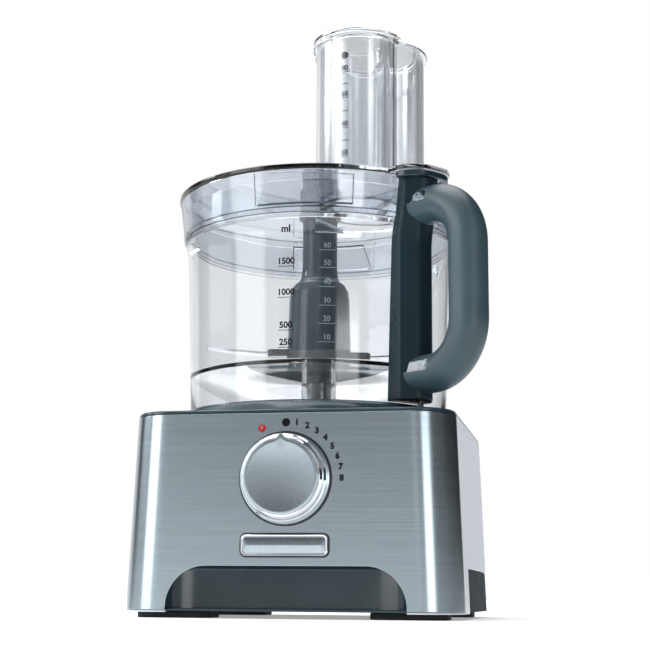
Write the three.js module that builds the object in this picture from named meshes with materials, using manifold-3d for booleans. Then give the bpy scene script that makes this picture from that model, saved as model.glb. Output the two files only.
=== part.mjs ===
// A food processor: a belt-driven motor base, a bowl with its handle and knife,
// a lid with a feed tube, and two pushers. Millimetres, +Z up.
// The pieces are modelled round the bowl's axis; the last lines move the origin
// to the middle of the underside of the whole object.
import * as THREE from 'three';
import { mergeVertices } from 'three/addons/utils/BufferGeometryUtils.js';
import Module from 'manifold-3d';

const wasm = await Module();
wasm.setup();

// ---------------------------------------------------------------- clearances
const GAP = 0.3; // between fixed neighbours
const RUN = 0.4; // round a turning or sliding piece
const PAST = 1; // how far a cutter runs past the face that it cuts
const FAR = 250; // beyond the base on every side

// ---------------------------------------------------------------- base casing
const BASE_HALF_WIDTH = 105.4;
const BASE_NARROWING = 4.4; // each side leans in by this much up to the casing's top
const BASE_FRONT = 99.3; // bowl axis to the front face
const BASE_BACK = 108;
const FRONT_CORNER_R = 27;
const REAR_CORNER_R = 20;
const FOOT_HEIGHT = 3.9;
const CASING_BOTTOM = 3.5;
const CASING_HEIGHT = 119.5;
const PANEL_WALL = 1.2;
const CASING_WALL = 2.5;
const LIP_HEIGHT = 0.9; // silver lip below the steel panel
const ARCH_HALF_WIDTH = 73.5;
const ARCH_TOP = 31;
const ARCH_R = 24;
const RECESS_DEPTH = 22;
const RECESS_R = 20;
const BAND_START_Y = -44; // the dark band shows from here to the back
const BAND_LEAN = 1.2;
const FLOOR_THICKNESS = 3;

// ---------------------------------------------------------------- deck
const DECK_THICKNESS = 2.6;
const DECK_EDGE_R = 1.6;
const COLLAR_RISE = 7.1;
const WELL_RISE = 3.7; // the bowl's seat above the deck
const COLLAR_SPREAD = 9; // the dome's width outside the bowl's recess
const DECK_WALL = 2.5;
const DECK_BOSS_R = 13;
const DECK_BOSS_RISE = 8.7;

// ---------------------------------------------------------------- bowl
const BOWL_FOOT_R = 86.2;
const BOWL_WAIST_R = 90;
const BOWL_LIP_R = 93;
const BOWL_WALL = 2.3;
const BOWL_HEIGHT = 121.4; // bowl foot to the lid line
const BOWL_FLARE_HEIGHT = 19;
const BOWL_RIM_HEIGHT = 22; // the inner rim that the lid drops over
const BOWL_FLOOR_RISE = 26.4;
const CHIMNEY_R = 11.8;
const CHIMNEY_WALL = 2;
const CHIMNEY_RISE = 6;
const CHIMNEY_DROP = 14;
const RIB_REACH = 26;
const RIB_COUNT = 6;

// ---------------------------------------------------------------- handle
const HANDLE_TURN = -40; // degrees from +X
const COLUMN_HALF_WIDTH = 13.8;
const COLUMN_EDGE = 8.5; // column's edge outside the bowl's waist
const COLUMN_BULGE = 9;
const GRIP_REACH = 145;
const GRIP_R = 12.2;
const GRIP_LOW = 149.5;
const GRIP_HIGH = 257.5;
const LOW_BEND_R = 31;
const HIGH_BEND_R = 30;

// ---------------------------------------------------------------- interlock
const ROD_REACH = 102; // bowl axis to the rod
const ROD_R = 1.8;
const ROD_COLLAR_R = 3.4;
const SPRING_BOTTOM = 142;
const SPRING_HEIGHT = 22;
const SPRING_WIRE_R = 0.6;
const SPRING_TURNS = 6;
const COLLAR_HEIGHT = 2;
const ROD_TRAVEL = 3;
const PLUNGER_FOOT_R = 4.2;
const PLUNGER_R = ROD_R; // it rises into the rod's bore

// ---------------------------------------------------------------- lid
const LID_HEIGHT = 31;
const LID_PLATE = 3;
const LID_WALL = 2;
const LID_RIM_R = 97.5;
const EAR_REACH = 118;
const EAR_HALF_WIDTH = 21;
const EAR_R = 17;
const EAR_DEPTH = 7.5;
const EAR_GROOVE = 0.8;
const TUBE_A = { x: 24.5, y: 12.5, r: 30 };
const TUBE_B = { x: 30, y: 35, r: 38.5 };
const TUBE_WALL = 2.5;
const TUBE_HEIGHT = 120;
const TUBE_RIM = 2.3;
const TUBE_RIM_HEIGHT = 4;
const PUSHER_WALL = 2;
const PUSHER_FLANGE = 2.4;
const SMALL_FEED_R = 21;

// ---------------------------------------------------------------- knife
const KNIFE_TOP_DROP = 6.5; // below the lid's top
const KNIFE_PIN_R = 3;
const HUB_R = 20.6;
const HUB_FOOT_R = 22;
const NECK_R = 12;
const CAP_R = 14.7;
const WING_REACH = 35;
const BLADE_REACH = 77;
const BLADE_SWEEP = 3; // rise of a blade's tip over its root
const BLADE_THICKNESS = 1.6;
const LOW_BLADE_RISE = 6.5;
const HIGH_BLADE_RISE = 8.5;

// ---------------------------------------------------------------- drive
const SHAFT_R = 5;
const COUPLING_R = 8.5;
const MOTOR_Y = 60;
const STATOR_HALF_WIDTH = 35;
const ARMATURE_R = 21.5;
const MOTOR_SHAFT_R = 4;
const BIG_PULLEY_R = 44;
const SMALL_PULLEY_R = 9.5;
const BELT_THICKNESS = 2.5;
const BELT_WIDTH = 12;
const PULLEY_FLANGE = 1.5;

// ---------------------------------------------------------------- front fittings
const DIAL_Z = 83.1;
const DIAL_R = 28.5;
const DIAL_DEPTH = 14.7;
const DIAL_FACE_R = 22.7;
const POINTER_REACH = 26;
const POINTER_HALF_WIDTH = 3.4;
const DIAL_STEM_R = 3.2;
const BADGE_WIDTH = 53.4;
const BADGE_HEIGHT = 12.9;
const BADGE_Z = 43.3;
const BADGE_BORDER = 1.6;

// ---------------------------------------------------------------- facets
const FINE = 36; // sides of a large round piece
const MEDIUM = 20;
const SMALL = 10;
const CORNER = 3; // half the steps of a rounded corner

// ---------------------------------------------------------------- worked out
const CASING_TOP = CASING_BOTTOM + CASING_HEIGHT;
const PANEL_BOTTOM = CASING_BOTTOM + LIP_HEIGHT + GAP;
const CARRIER_INSET = PANEL_WALL + GAP;
const CARRIER_INNER = CARRIER_INSET + CASING_WALL;
const FLOOR_BOTTOM = FOOT_HEIGHT + GAP;
const FLOOR_TOP = FLOOR_BOTTOM + FLOOR_THICKNESS;
const PANEL_BACK_Y = -BASE_FRONT + FRONT_CORNER_R;
const DECK_BOTTOM = CASING_TOP + GAP;
const DECK_TOP = CASING_TOP + DECK_THICKNESS;
const COLLAR_TOP = DECK_TOP + COLLAR_RISE;
const WELL_R = BOWL_FOOT_R + 1.4;
const WELL_FLOOR = DECK_TOP + WELL_RISE;
const BOWL_FOOT_Z = WELL_FLOOR + GAP;
const LID_LINE = BOWL_FOOT_Z + BOWL_HEIGHT;
const FLARE_START = LID_LINE - BOWL_FLARE_HEIGHT;
const BOWL_FLOOR = BOWL_FOOT_Z + BOWL_FLOOR_RISE;
const BOWL_FLOOR_TOP = BOWL_FLOOR + BOWL_WALL;
const BOWL_RIM_R = BOWL_LIP_R - 2;
const CHIMNEY_TOP = BOWL_FLOOR_TOP + CHIMNEY_RISE;
const LID_TOP = LID_LINE + LID_HEIGHT;
const LID_UNDER = LID_TOP - LID_PLATE;
const LID_FOOT_Z = LID_LINE + GAP;
const EAR_BOTTOM = LID_TOP - EAR_DEPTH;
const TUBE_TOP = LID_TOP + TUBE_HEIGHT;
const KNIFE_TOP = LID_TOP - KNIFE_TOP_DROP;
const HUB_BOTTOM = CHIMNEY_TOP + RUN;
const COLUMN_BOTTOM = COLLAR_TOP + 0.7;
const COLUMN_TOP = LID_UNDER - 2 * GAP;
const ROD_TOP = LID_UNDER - GAP;
const PULLEY_BOTTOM = FLOOR_TOP + 4.8;
const BELT_BOTTOM = PULLEY_BOTTOM + PULLEY_FLANGE + GAP;
const PULLEY_TOP = BELT_BOTTOM + BELT_WIDTH + GAP + PULLEY_FLANGE;
const BRACKET_BOTTOM = PULLEY_TOP + 3;

// ---------------------------------------------------------------- finishes
const finish = (color, roughness, metalness, opacity = 1) =>
  new THREE.MeshStandardMaterial({
    color, roughness, metalness, opacity, transparent: opacity < 1,
  });
const brushedSteel = () => finish(0x9aa0a4, 0.35, 1);
const polishedSteel = () => finish(0xc9ccce, 0.15, 1);
const chrome = () => finish(0xdadde0, 0.06, 1);
const silverPlastic = () => finish(0xbfc5cb, 0.4, 0.1);
const darkPlastic = () => finish(0x2f434a, 0.45, 0);
const blackPlastic = () => finish(0x111314, 0.5, 0);
const clearPlastic = () => finish(0xe8eef2, 0.05, 0, 0.3);
const blackRubber = () => finish(0x0b0c0d, 0.8, 0);
const castAlloy = () => finish(0x8d9093, 0.5, 0.9);
const copper = () => finish(0xb06a3a, 0.35, 1);
const laminatedIron = () => finish(0x55585b, 0.5, 0.8);
const boardGreen = () => finish(0x1f5a37, 0.5, 0);

// ---------------------------------------------------------------- solids
const WELD = 1e-4;

function signedVolume(points, index) {
  const [a, b, c] = [new THREE.Vector3(), new THREE.Vector3(), new THREE.Vector3()];
  let volume = 0;
  for (let i = 0; i < index.length; i += 3) {
    a.fromArray(points, 3 * index[i]);
    b.fromArray(points, 3 * index[i + 1]);
    c.fromArray(points, 3 * index[i + 2]);
    volume += a.dot(b.cross(c));
  }
  return volume;
}

function solid(geometry) {
  geometry.deleteAttribute('normal');
  geometry.deleteAttribute('uv');
  const welded = mergeVertices(geometry, WELD);
  const points = welded.attributes.position.array;
  const corners = welded.index.array;
  const index = [];
  for (let i = 0; i < corners.length; i += 3) {
    const [a, b, c] = corners.slice(i, i + 3);
    if (a !== b && b !== c && c !== a) index.push(a, b, c);
  }
  if (signedVolume(points, index) < 0) index.reverse();
  return new wasm.Manifold(new wasm.Mesh({
    numProp: 3,
    vertProperties: new Float32Array(points),
    triVerts: new Uint32Array(index),
  }));
}

const asSolid = (part) => (part.isBufferGeometry ? solid(part) : part);
const join = (...parts) => parts.map(asSolid).reduce((a, b) => a.add(b));
const common = (...parts) => parts.map(asSolid).reduce((a, b) => a.intersect(b));
const cut = (body, ...tools) => tools.map(asSolid).reduce((a, b) => a.subtract(b), asSolid(body));

function piece(name, part, material, parent = machine) {
  const { vertProperties, triVerts, numProp } = asSolid(part).getMesh();
  if (numProp !== 3) throw new Error(`${name} has more than positions`);
  const geometry = new THREE.BufferGeometry();
  geometry.setAttribute('position', new THREE.BufferAttribute(vertProperties, 3));
  geometry.setIndex(new THREE.BufferAttribute(triVerts, 1));
  geometry.computeVertexNormals();
  const mesh = new THREE.Mesh(geometry, material);
  mesh.name = name;
  parent.add(mesh);
  return mesh;
}

// ---------------------------------------------------------------- primitives
const degrees = THREE.MathUtils.degToRad;

const box = (x0, x1, y0, y1, z0, z1) =>
  new THREE.BoxGeometry(x1 - x0, y1 - y0, z1 - z0)
    .translate((x0 + x1) / 2, (y0 + y1) / 2, (z0 + z1) / 2);

const disc = (r, z0, z1, sides = MEDIUM) =>
  new THREE.CylinderGeometry(r, r, z1 - z0, sides)
    .rotateX(Math.PI / 2).translate(0, 0, (z0 + z1) / 2);

// A profile of [radius, height] turned about Z. It starts and ends on the axis,
// or it closes on itself.
function lathe(profile, sides = FINE) {
  const points = profile.map(([r, z]) => new THREE.Vector2(r, z));
  if (profile[0][0] > 0) points.push(points[0].clone());
  return new THREE.LatheGeometry(points, sides).rotateX(Math.PI / 2);
}

const ring = (rOut, rIn, z0, z1, sides = MEDIUM) =>
  lathe([[rIn, z0], [rOut, z0], [rOut, z1], [rIn, z1]], sides);

const prism = (shape, z0, z1, curveSegments = CORNER) =>
  new THREE.ExtrudeGeometry(shape, { depth: z1 - z0, bevelEnabled: false, curveSegments })
    .translate(0, 0, z0);

// A rectangle with rounded corners, the radii given from the low-X low-Y corner onwards.
function roundedRectangle(x0, x1, y0, y1, radii) {
  const [r0, r1, r2, r3] = Array.isArray(radii) ? radii : Array(4).fill(radii);
  const shape = new THREE.Shape();
  shape.absarc(x0 + r0, y0 + r0, r0, Math.PI, 1.5 * Math.PI);
  shape.absarc(x1 - r1, y0 + r1, r1, 1.5 * Math.PI, 2 * Math.PI);
  shape.absarc(x1 - r2, y1 - r2, r2, 0, 0.5 * Math.PI);
  shape.absarc(x0 + r3, y1 - r3, r3, 0.5 * Math.PI, Math.PI);
  shape.closePath();
  return shape;
}

const regularPolygon = (r, sides) => new THREE.Shape(
  Array.from({ length: sides }, (_, i) => new THREE.Vector2(
    r * Math.cos((2 * Math.PI * i) / sides), r * Math.sin((2 * Math.PI * i) / sides),
  )),
);

// ---------------------------------------------------------------- casing helpers
const outline = (inset) => roundedRectangle(
  -BASE_HALF_WIDTH + inset, BASE_HALF_WIDTH - inset,
  -BASE_FRONT + inset, BASE_BACK - inset,
  [FRONT_CORNER_R, FRONT_CORNER_R, REAR_CORNER_R, REAR_CORNER_R].map((r) => r - inset),
);

// The casing's sides lean in as they rise.
function lean(geometry) {
  const place = geometry.attributes.position;
  for (let i = 0; i < place.count; i += 1) {
    const rise = (place.getZ(i) - CASING_BOTTOM) / CASING_HEIGHT;
    place.setX(i, place.getX(i) * (1 - (rise * BASE_NARROWING) / BASE_HALF_WIDTH));
  }
  return geometry;
}

const casingBlock = (inset, z0, z1) => lean(prism(outline(inset), z0, z1));
const behind = (y) => box(-FAR, FAR, y, FAR, -PAST, FAR);
const before = (y) => box(-FAR, FAR, -FAR, y, -PAST, FAR);

// The arch in the front, as a block along Y.
function arch(extra) {
  const halfWidth = ARCH_HALF_WIDTH + extra;
  const shape = roundedRectangle(
    -halfWidth, halfWidth, -40, ARCH_TOP + extra, [1, 1, ARCH_R + extra, ARCH_R + extra],
  );
  return new THREE.ExtrudeGeometry(shape, { depth: 60, bevelEnabled: false, curveSegments: CORNER + 1 })
    .rotateX(Math.PI / 2).translate(0, -BASE_FRONT + 45, 0);
}

const machine = new THREE.Group();

// A frame on the front or the back face, with its own +Z pointing out of the machine.
function faceFrame(x, y, z, turn) {
  const frame = new THREE.Group();
  frame.position.set(x, y, z);
  frame.rotation.x = turn * Math.PI / 2;
  machine.add(frame);
  return frame;
}

const motorFrame = new THREE.Group();
motorFrame.position.y = MOTOR_Y;
machine.add(motorFrame);

const handleFrame = new THREE.Group();
handleFrame.rotation.z = degrees(HANDLE_TURN);
machine.add(handleFrame);

// ---------------------------------------------------------------- casing
const SCREW_X = 88;
const SCREW_YS = { front: -34, rear: 48 };
const SCREW_R = 2;
const SCREW_HEAD_R = 3.8;
const BOSS_R = 4.6;
const BOSS_TOP = 60;
const SCREW_BOTTOM = FLOOR_TOP + GAP;
const RIB_BOTTOM = ARCH_TOP + 9;

const stemHole = () => disc(DIAL_STEM_R + PAST, 0, 20, SMALL).rotateX(Math.PI / 2)
  .translate(0, -BASE_FRONT + 10, DIAL_Z);

function frontPanel() {
  const sheet = cut(
    casingBlock(0, PANEL_BOTTOM, CASING_TOP),
    casingBlock(PANEL_WALL, PANEL_BOTTOM - PAST, CASING_TOP + PAST),
    behind(PANEL_BACK_Y),
    arch(0),
  );
  return cut(sheet, stemHole());
}

function caseBoss(x, y) {
  const side = Math.sign(x);
  const wallX = BASE_HALF_WIDTH - CASING_WALL / 2 - BASE_NARROWING / 2;
  return cut(
    join(
      disc(BOSS_R, SCREW_BOTTOM, BOSS_TOP, SMALL).translate(x, y, 0),
      box(Math.min(x, side * wallX), Math.max(x, side * wallX), y - 1.5, y + 1.5, RIB_BOTTOM, BOSS_TOP),
    ),
    disc(SCREW_R + 0.2, SCREW_BOTTOM - PAST, BOSS_TOP - 8, SMALL).translate(x, y, 0),
  );
}

function ventSlots() {
  const count = 7;
  const pitch = 9;
  return Array.from({ length: count }, (_, i) => {
    const x = (i - (count - 1) / 2) * pitch;
    return box(x - 1.75, x + 1.75, BASE_BACK - 8, BASE_BACK + PAST, 52, 92);
  });
}

const GLAND_X = 62;
const GLAND_Z = 47;
const GLAND_R = 6.5;

function sideHousing() {
  const seam = PANEL_BACK_Y + GAP;
  const overlap = PANEL_BACK_Y + 6;
  const top = CASING_TOP;
  const block = join(
    casingBlock(CARRIER_INSET, CASING_BOTTOM, top),
    common(casingBlock(0, CASING_BOTTOM, top), behind(seam)),
    casingBlock(0, CASING_BOTTOM, CASING_BOTTOM + LIP_HEIGHT),
  );
  const hollow = join(
    cut(casingBlock(CARRIER_INNER, 0, top + PAST), behind(overlap)),
    cut(casingBlock(CASING_WALL, 0, top + PAST), before(overlap - GAP)),
  );
  const bosses = [1, -1].flatMap((side) =>
    Object.values(SCREW_YS).map((y) => caseBoss(side * SCREW_X, y)));
  return cut(
    join(
      cut(
        block, hollow, arch(0.6),
        box(-FAR, FAR, BAND_START_Y, FAR, -PAST, ARCH_TOP),
      ),
      ...bosses,
    ),
    ...ventSlots(),
    stemHole(),
    disc(GLAND_R + GAP, 0, 20).rotateX(Math.PI / 2).translate(GLAND_X, BASE_BACK + 8, GLAND_Z),
  );
}

// ---------------------------------------------------------------- control board
const BOARD_Y = -BASE_FRONT + CARRIER_INNER + 28;
const BOARD_THICKNESS = 1.6;
const BOARD_HALF_WIDTH = 58;
const BOARD_BOTTOM = ARCH_TOP + 8;
const BOARD_HEIGHT = 62;
const BOARD_POST_X = 50;
const CAPACITOR_R = 9;
const CAPACITOR_LENGTH = 22;
const HEAT_SINK_HEIGHT = 36;

// Two slotted posts hold the board's lower edge.
const boardPosts = () => [-BOARD_POST_X, BOARD_POST_X].map((x) => cut(
  box(x - 3, x + 3, BOARD_Y - 3, BOARD_Y + BOARD_THICKNESS + 3, FLOOR_TOP - PAST, BOARD_BOTTOM + 3),
  box(-FAR, FAR, BOARD_Y - GAP, BOARD_Y + BOARD_THICKNESS + GAP, BOARD_BOTTOM - GAP, FAR),
));

// ---------------------------------------------------------------- underbody
const FEET = {
  foot_front_left: [-72.5, -73],
  foot_front_right: [72.5, -73],
  foot_rear_left: [-73.5, 75],
  foot_rear_right: [73.5, 75],
};
const FOOT_HALF_LENGTH = 23.5;
const FOOT_HALF_WIDTH = 15;
const FOOT_STUD_R = 3;
const FOOT_STUD_SPREAD = 15;
const MOTOR_POSTS = [[-29, -9], [29, -9], [-29, 29], [29, 29]];
const SPINDLE_POSTS = [[-52, -6], [52, -6], [0, -54]];
const POST_R = 4;

function recess(extra) {
  const halfWidth = ARCH_HALF_WIDTH + 1 + extra;
  const shape = roundedRectangle(
    -halfWidth, halfWidth, -BASE_FRONT - 10, -BASE_FRONT + RECESS_DEPTH + extra,
    [1, 1, RECESS_R + extra, RECESS_R + extra],
  );
  return prism(shape, extra ? -PAST : FLOOR_BOTTOM + 1.6, ARCH_TOP + extra);
}

function footStuds(extra, z0, z1) {
  return Object.values(FEET).flatMap(([x, y]) => [-1, 1].map((side) =>
    disc(FOOT_STUD_R + extra, z0, z1, SMALL).translate(x + side * FOOT_STUD_SPREAD, y, 0)));
}

function leaningBand() {
  const bottom = FLOOR_BOTTOM;
  const top = ARCH_TOP - GAP;
  const geometry = prism(outline(GAP), bottom, top);
  const place = geometry.attributes.position;
  for (let i = 0; i < place.count; i += 1) {
    const share = 1 - (BAND_LEAN * (place.getZ(i) - bottom)) / (top - bottom) / BASE_HALF_WIDTH;
    place.setX(i, place.getX(i) * share);
    place.setY(i, place.getY(i) * share);
  }
  return common(geometry, behind(BAND_START_Y + GAP));
}

function underbody() {
  const insideLip = CARRIER_INNER + GAP;
  const upstand = ARCH_TOP + 5;
  const walls = join(casingBlock(insideLip, FLOOR_BOTTOM, upstand), leaningBand());
  const wall = FLOOR_THICKNESS - 0.5;
  const hollow = cut(casingBlock(insideLip + wall, FLOOR_TOP, upstand + PAST), recess(wall));
  const posts = [
    ...MOTOR_POSTS.map(([x, y]) => [x, y + MOTOR_Y]),
    ...SPINDLE_POSTS,
  ].map(([x, y]) => disc(POST_R, FLOOR_TOP - PAST, BRACKET_BOTTOM - GAP, SMALL).translate(x, y, 0));
  const screwHoles = [1, -1].flatMap((side) => Object.values(SCREW_YS).flatMap((y) => [
    disc(SCREW_R + GAP, 0, FLOOR_TOP + PAST, SMALL).translate(side * SCREW_X, y, 0),
    disc(SCREW_HEAD_R + GAP, 0, FLOOR_BOTTOM + 1.6, SMALL).translate(side * SCREW_X, y, 0),
  ]));
  const vents = Array.from({ length: 5 }, (_, i) =>
    box((i - 2) * 9 - 2, (i - 2) * 9 + 2, MOTOR_Y - 4, MOTOR_Y + 22, 0, FLOOR_TOP + PAST));
  return cut(
    join(cut(walls, hollow, recess(0)), ...posts, ...boardPosts()),
    ...screwHoles, ...vents, ...footStuds(GAP, 0, FLOOR_TOP + PAST),
  );
}

function foot(x, y) {
  const pad = roundedRectangle(
    x - FOOT_HALF_LENGTH, x + FOOT_HALF_LENGTH, y - FOOT_HALF_WIDTH, y + FOOT_HALF_WIDTH, 7,
  );
  const studs = [-1, 1].map((side) =>
    disc(FOOT_STUD_R, FOOT_HEIGHT - PAST, FLOOR_TOP + 1, SMALL).translate(x + side * FOOT_STUD_SPREAD, y, 0));
  return join(prism(pad, 0, FOOT_HEIGHT), ...studs);
}

function caseScrew(x, y) {
  return join(
    disc(SCREW_HEAD_R, FLOOR_BOTTOM - 0.2, FLOOR_BOTTOM + 1.3, SMALL),
    disc(SCREW_R, FLOOR_BOTTOM, SCREW_BOTTOM + 20, SMALL),
  ).translate([x, y, 0]);
}

// ---------------------------------------------------------------- deck
const PLUNGER_HOLE = {
  x: ROD_REACH * Math.cos(degrees(HANDLE_TURN)),
  y: ROD_REACH * Math.sin(degrees(HANDLE_TURN)),
};
const SWITCH_TOP = CASING_TOP - 12;
const SWITCH_HEIGHT = 16;
const SWITCH_HALF_DEPTH = 10;
const SWITCH_STEP = 7; // plunger's axis to the step that the deck's hanger fits
const SWITCH_STEP_END = 11;
const SWITCH_STEP_DEPTH = 4;

function topDeck() {
  const topScale = 1 - BASE_NARROWING / BASE_HALF_WIDTH;
  const slabShape = outline(DECK_EDGE_R + 0.3);
  const slab = common(
    new THREE.ExtrudeGeometry(slabShape, {
      depth: 2 * DECK_THICKNESS, curveSegments: CORNER,
      bevelThickness: DECK_EDGE_R, bevelSize: DECK_EDGE_R, bevelSegments: 2,
    }).translate(0, 0, DECK_TOP - DECK_EDGE_R - 2 * DECK_THICKNESS).scale(topScale, 1, 1),
    box(-FAR, FAR, -FAR, FAR, DECK_BOTTOM, FAR),
  );
  const foot = WELL_R + COLLAR_SPREAD;
  const dome = lathe([
    [0, DECK_BOTTOM], [foot + 1.5, DECK_BOTTOM], [foot + 1.5, DECK_TOP],
    [foot, DECK_TOP + 0.35 * COLLAR_RISE], [foot - 0.3 * COLLAR_SPREAD, DECK_TOP + 0.72 * COLLAR_RISE],
    [foot - 0.55 * COLLAR_SPREAD, DECK_TOP + 0.93 * COLLAR_RISE], [WELL_R + 2.2, COLLAR_TOP],
    [WELL_R + 1, COLLAR_TOP - 0.2], [WELL_R + 0.3, COLLAR_TOP - 1.2],
    [WELL_R, WELL_FLOOR], [0, WELL_FLOOR],
  ], FINE);
  const collar = common(dome, prism(outline(1.1), 0, FAR).scale(topScale, 1, 1));
  const skirt = casingBlock(CARRIER_INNER + GAP, CASING_TOP - 6, DECK_BOTTOM + PAST);
  const hollow = join(
    casingBlock(CARRIER_INNER + GAP + DECK_WALL, CASING_TOP - 10, DECK_TOP - DECK_WALL),
    disc(WELL_R - 4, DECK_TOP - DECK_WALL - PAST, WELL_FLOOR - DECK_WALL, FINE),
  );
  const boss = disc(DECK_BOSS_R, WELL_FLOOR - DECK_WALL - PAST, WELL_FLOOR + DECK_BOSS_RISE);
  const { x, y } = PLUNGER_HOLE;
  const switchHanger = box(
    x - SWITCH_STEP_END, x - SWITCH_STEP - GAP, y - SWITCH_HALF_DEPTH, y + SWITCH_HALF_DEPTH,
    SWITCH_TOP - SWITCH_STEP_DEPTH + GAP, DECK_BOTTOM + PAST,
  );
  return cut(
    join(cut(join(slab, collar, skirt), hollow), boss, switchHanger),
    disc(SHAFT_R + 1, 0, FAR),
    disc(COUPLING_R + RUN, WELL_FLOOR + DECK_BOSS_RISE - 7, FAR),
    disc(PLUNGER_R + GAP, 0, FAR, SMALL).translate(x, y, 0),
  );
}

// ---------------------------------------------------------------- bowl
function bowlRadius(z) {
  if (z <= FLARE_START) {
    const share = (z - BOWL_FOOT_Z) / (FLARE_START - BOWL_FOOT_Z);
    return BOWL_FOOT_R + (BOWL_WAIST_R - BOWL_FOOT_R) * share;
  }
  const share = Math.min(1, (z - FLARE_START) / BOWL_FLARE_HEIGHT);
  return BOWL_WAIST_R + (BOWL_LIP_R - BOWL_WAIST_R) * (1 - Math.cos((share * Math.PI) / 2));
}

const flareHeights = [0, 0.3, 0.55, 0.78, 1].map((t) => FLARE_START + t * BOWL_FLARE_HEIGHT);

function bowl() {
  const inside = (z) => Math.min(bowlRadius(z), BOWL_RIM_R + 0.2) - BOWL_WALL;
  const shell = lathe([
    [bowlRadius(BOWL_FOOT_Z), BOWL_FOOT_Z],
    ...flareHeights.map((z) => [bowlRadius(z), z]),
    [BOWL_RIM_R, LID_LINE],
    [BOWL_RIM_R, LID_LINE + BOWL_RIM_HEIGHT],
    [BOWL_RIM_R - BOWL_WALL, LID_LINE + BOWL_RIM_HEIGHT],
    [inside(LID_LINE), LID_LINE],
    [inside(FLARE_START), FLARE_START],
    [inside(BOWL_FLOOR_TOP), BOWL_FLOOR_TOP],
    [CHIMNEY_R, BOWL_FLOOR_TOP],
    [CHIMNEY_R, CHIMNEY_TOP],
    [CHIMNEY_R - CHIMNEY_WALL, CHIMNEY_TOP],
    [CHIMNEY_R - CHIMNEY_WALL, BOWL_FLOOR - CHIMNEY_DROP],
    [CHIMNEY_R, BOWL_FLOOR - CHIMNEY_DROP],
    [CHIMNEY_R, BOWL_FLOOR],
    [bowlRadius(BOWL_FLOOR) - BOWL_WALL, BOWL_FLOOR],
    [BOWL_FOOT_R - BOWL_WALL, BOWL_FOOT_Z],
  ], FINE);
  const ribShape = new THREE.Shape([
    new THREE.Vector2(CHIMNEY_R - 1, BOWL_FLOOR - CHIMNEY_DROP + 2),
    new THREE.Vector2(CHIMNEY_R + RIB_REACH, BOWL_FLOOR + 1),
    new THREE.Vector2(CHIMNEY_R - 1, BOWL_FLOOR + 1),
  ]);
  const ribs = Array.from({ length: RIB_COUNT }, (_, i) =>
    new THREE.ExtrudeGeometry(ribShape, { depth: 1.6, bevelEnabled: false })
      .translate(0, 0, -0.8).rotateX(Math.PI / 2).rotateZ((i * 2 * Math.PI) / RIB_COUNT));
  const lugs = [-145, -75, 35, 105].map((angle) => lidLug(degrees(angle)));
  return join(shell, ...ribs, ...lugs);
}

// A lug on the bowl's shoulder, just under the lid line.
function lidLug(angle) {
  const shape = new THREE.Shape([
    new THREE.Vector2(-9, LID_LINE - 4),
    new THREE.Vector2(9, LID_LINE - 11),
    new THREE.Vector2(9, LID_LINE - 13),
    new THREE.Vector2(-9, LID_LINE - 13),
  ]);
  const block = new THREE.ExtrudeGeometry(shape, { depth: 30, bevelEnabled: false })
    .rotateX(Math.PI / 2).translate(0, -BOWL_WAIST_R + 15, 0)
    .rotateZ(angle + Math.PI / 2);
  return common(block, ring(BOWL_LIP_R - 0.8, BOWL_WAIST_R - 1, 0, LID_LINE, FINE));
}

// ---------------------------------------------------------------- lid skirt
const LID_SKIRT_TOP_R = LID_RIM_R - 0.6;
const LID_SKIRT_FOOT_R = BOWL_LIP_R + 0.5;
const lidSkirtRadius = (z) => LID_SKIRT_FOOT_R
  + ((LID_SKIRT_TOP_R - LID_SKIRT_FOOT_R) * (z - LID_LINE)) / (LID_UNDER - LID_LINE);

// ---------------------------------------------------------------- handle
// Everything inside this stays clear of the bowl and of the lid's skirt.
function bowlAndLidSpace() {
  return lathe([
    [0, COLUMN_BOTTOM - 10],
    [bowlRadius(COLUMN_BOTTOM - 10) + GAP, COLUMN_BOTTOM - 10],
    ...flareHeights.map((z) => [bowlRadius(z) + GAP, z - GAP]),
    [LID_SKIRT_FOOT_R + 2 * GAP, LID_LINE - GAP],
    [LID_RIM_R + 2 * GAP, LID_UNDER],
    [LID_RIM_R + 2 * GAP, LID_TOP + 10],
    [0, LID_TOP + 10],
  ], FINE).rotateZ(-degrees(HANDLE_TURN));
}

function columnSection(extra) {
  const edge = BOWL_WAIST_R + COLUMN_EDGE + extra;
  const halfWidth = COLUMN_HALF_WIDTH + extra;
  const shape = new THREE.Shape();
  shape.moveTo(BOWL_WAIST_R - 15, -halfWidth);
  shape.lineTo(edge - 1.5, -halfWidth);
  shape.quadraticCurveTo(edge, -halfWidth, edge + 1, -halfWidth + 2);
  shape.quadraticCurveTo(edge + COLUMN_BULGE, -halfWidth / 2, edge + COLUMN_BULGE, 0);
  shape.quadraticCurveTo(edge + COLUMN_BULGE, halfWidth / 2, edge + 1, halfWidth - 2);
  shape.quadraticCurveTo(edge, halfWidth, edge - 1.5, halfWidth);
  shape.lineTo(BOWL_WAIST_R - 15, halfWidth);
  shape.closePath();
  return shape;
}

function column() {
  const shape = columnSection(0);
  const height = COLUMN_TOP - COLUMN_BOTTOM;
  const geometry = new THREE.ExtrudeGeometry(shape, {
    depth: height, steps: 10, bevelEnabled: false, curveSegments: 3,
  }).translate(0, 0, COLUMN_BOTTOM);
  const place = geometry.attributes.position;
  for (let i = 0; i < place.count; i += 1) {
    const z = place.getZ(i);
    const flare = z < LID_LINE
      ? Math.max(0, bowlRadius(z) - BOWL_WAIST_R)
      : lidSkirtRadius(z) - LID_SKIRT_FOOT_R + BOWL_LIP_R - BOWL_WAIST_R;
    place.setX(i, place.getX(i) + flare);
  }
  return geometry;
}

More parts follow.
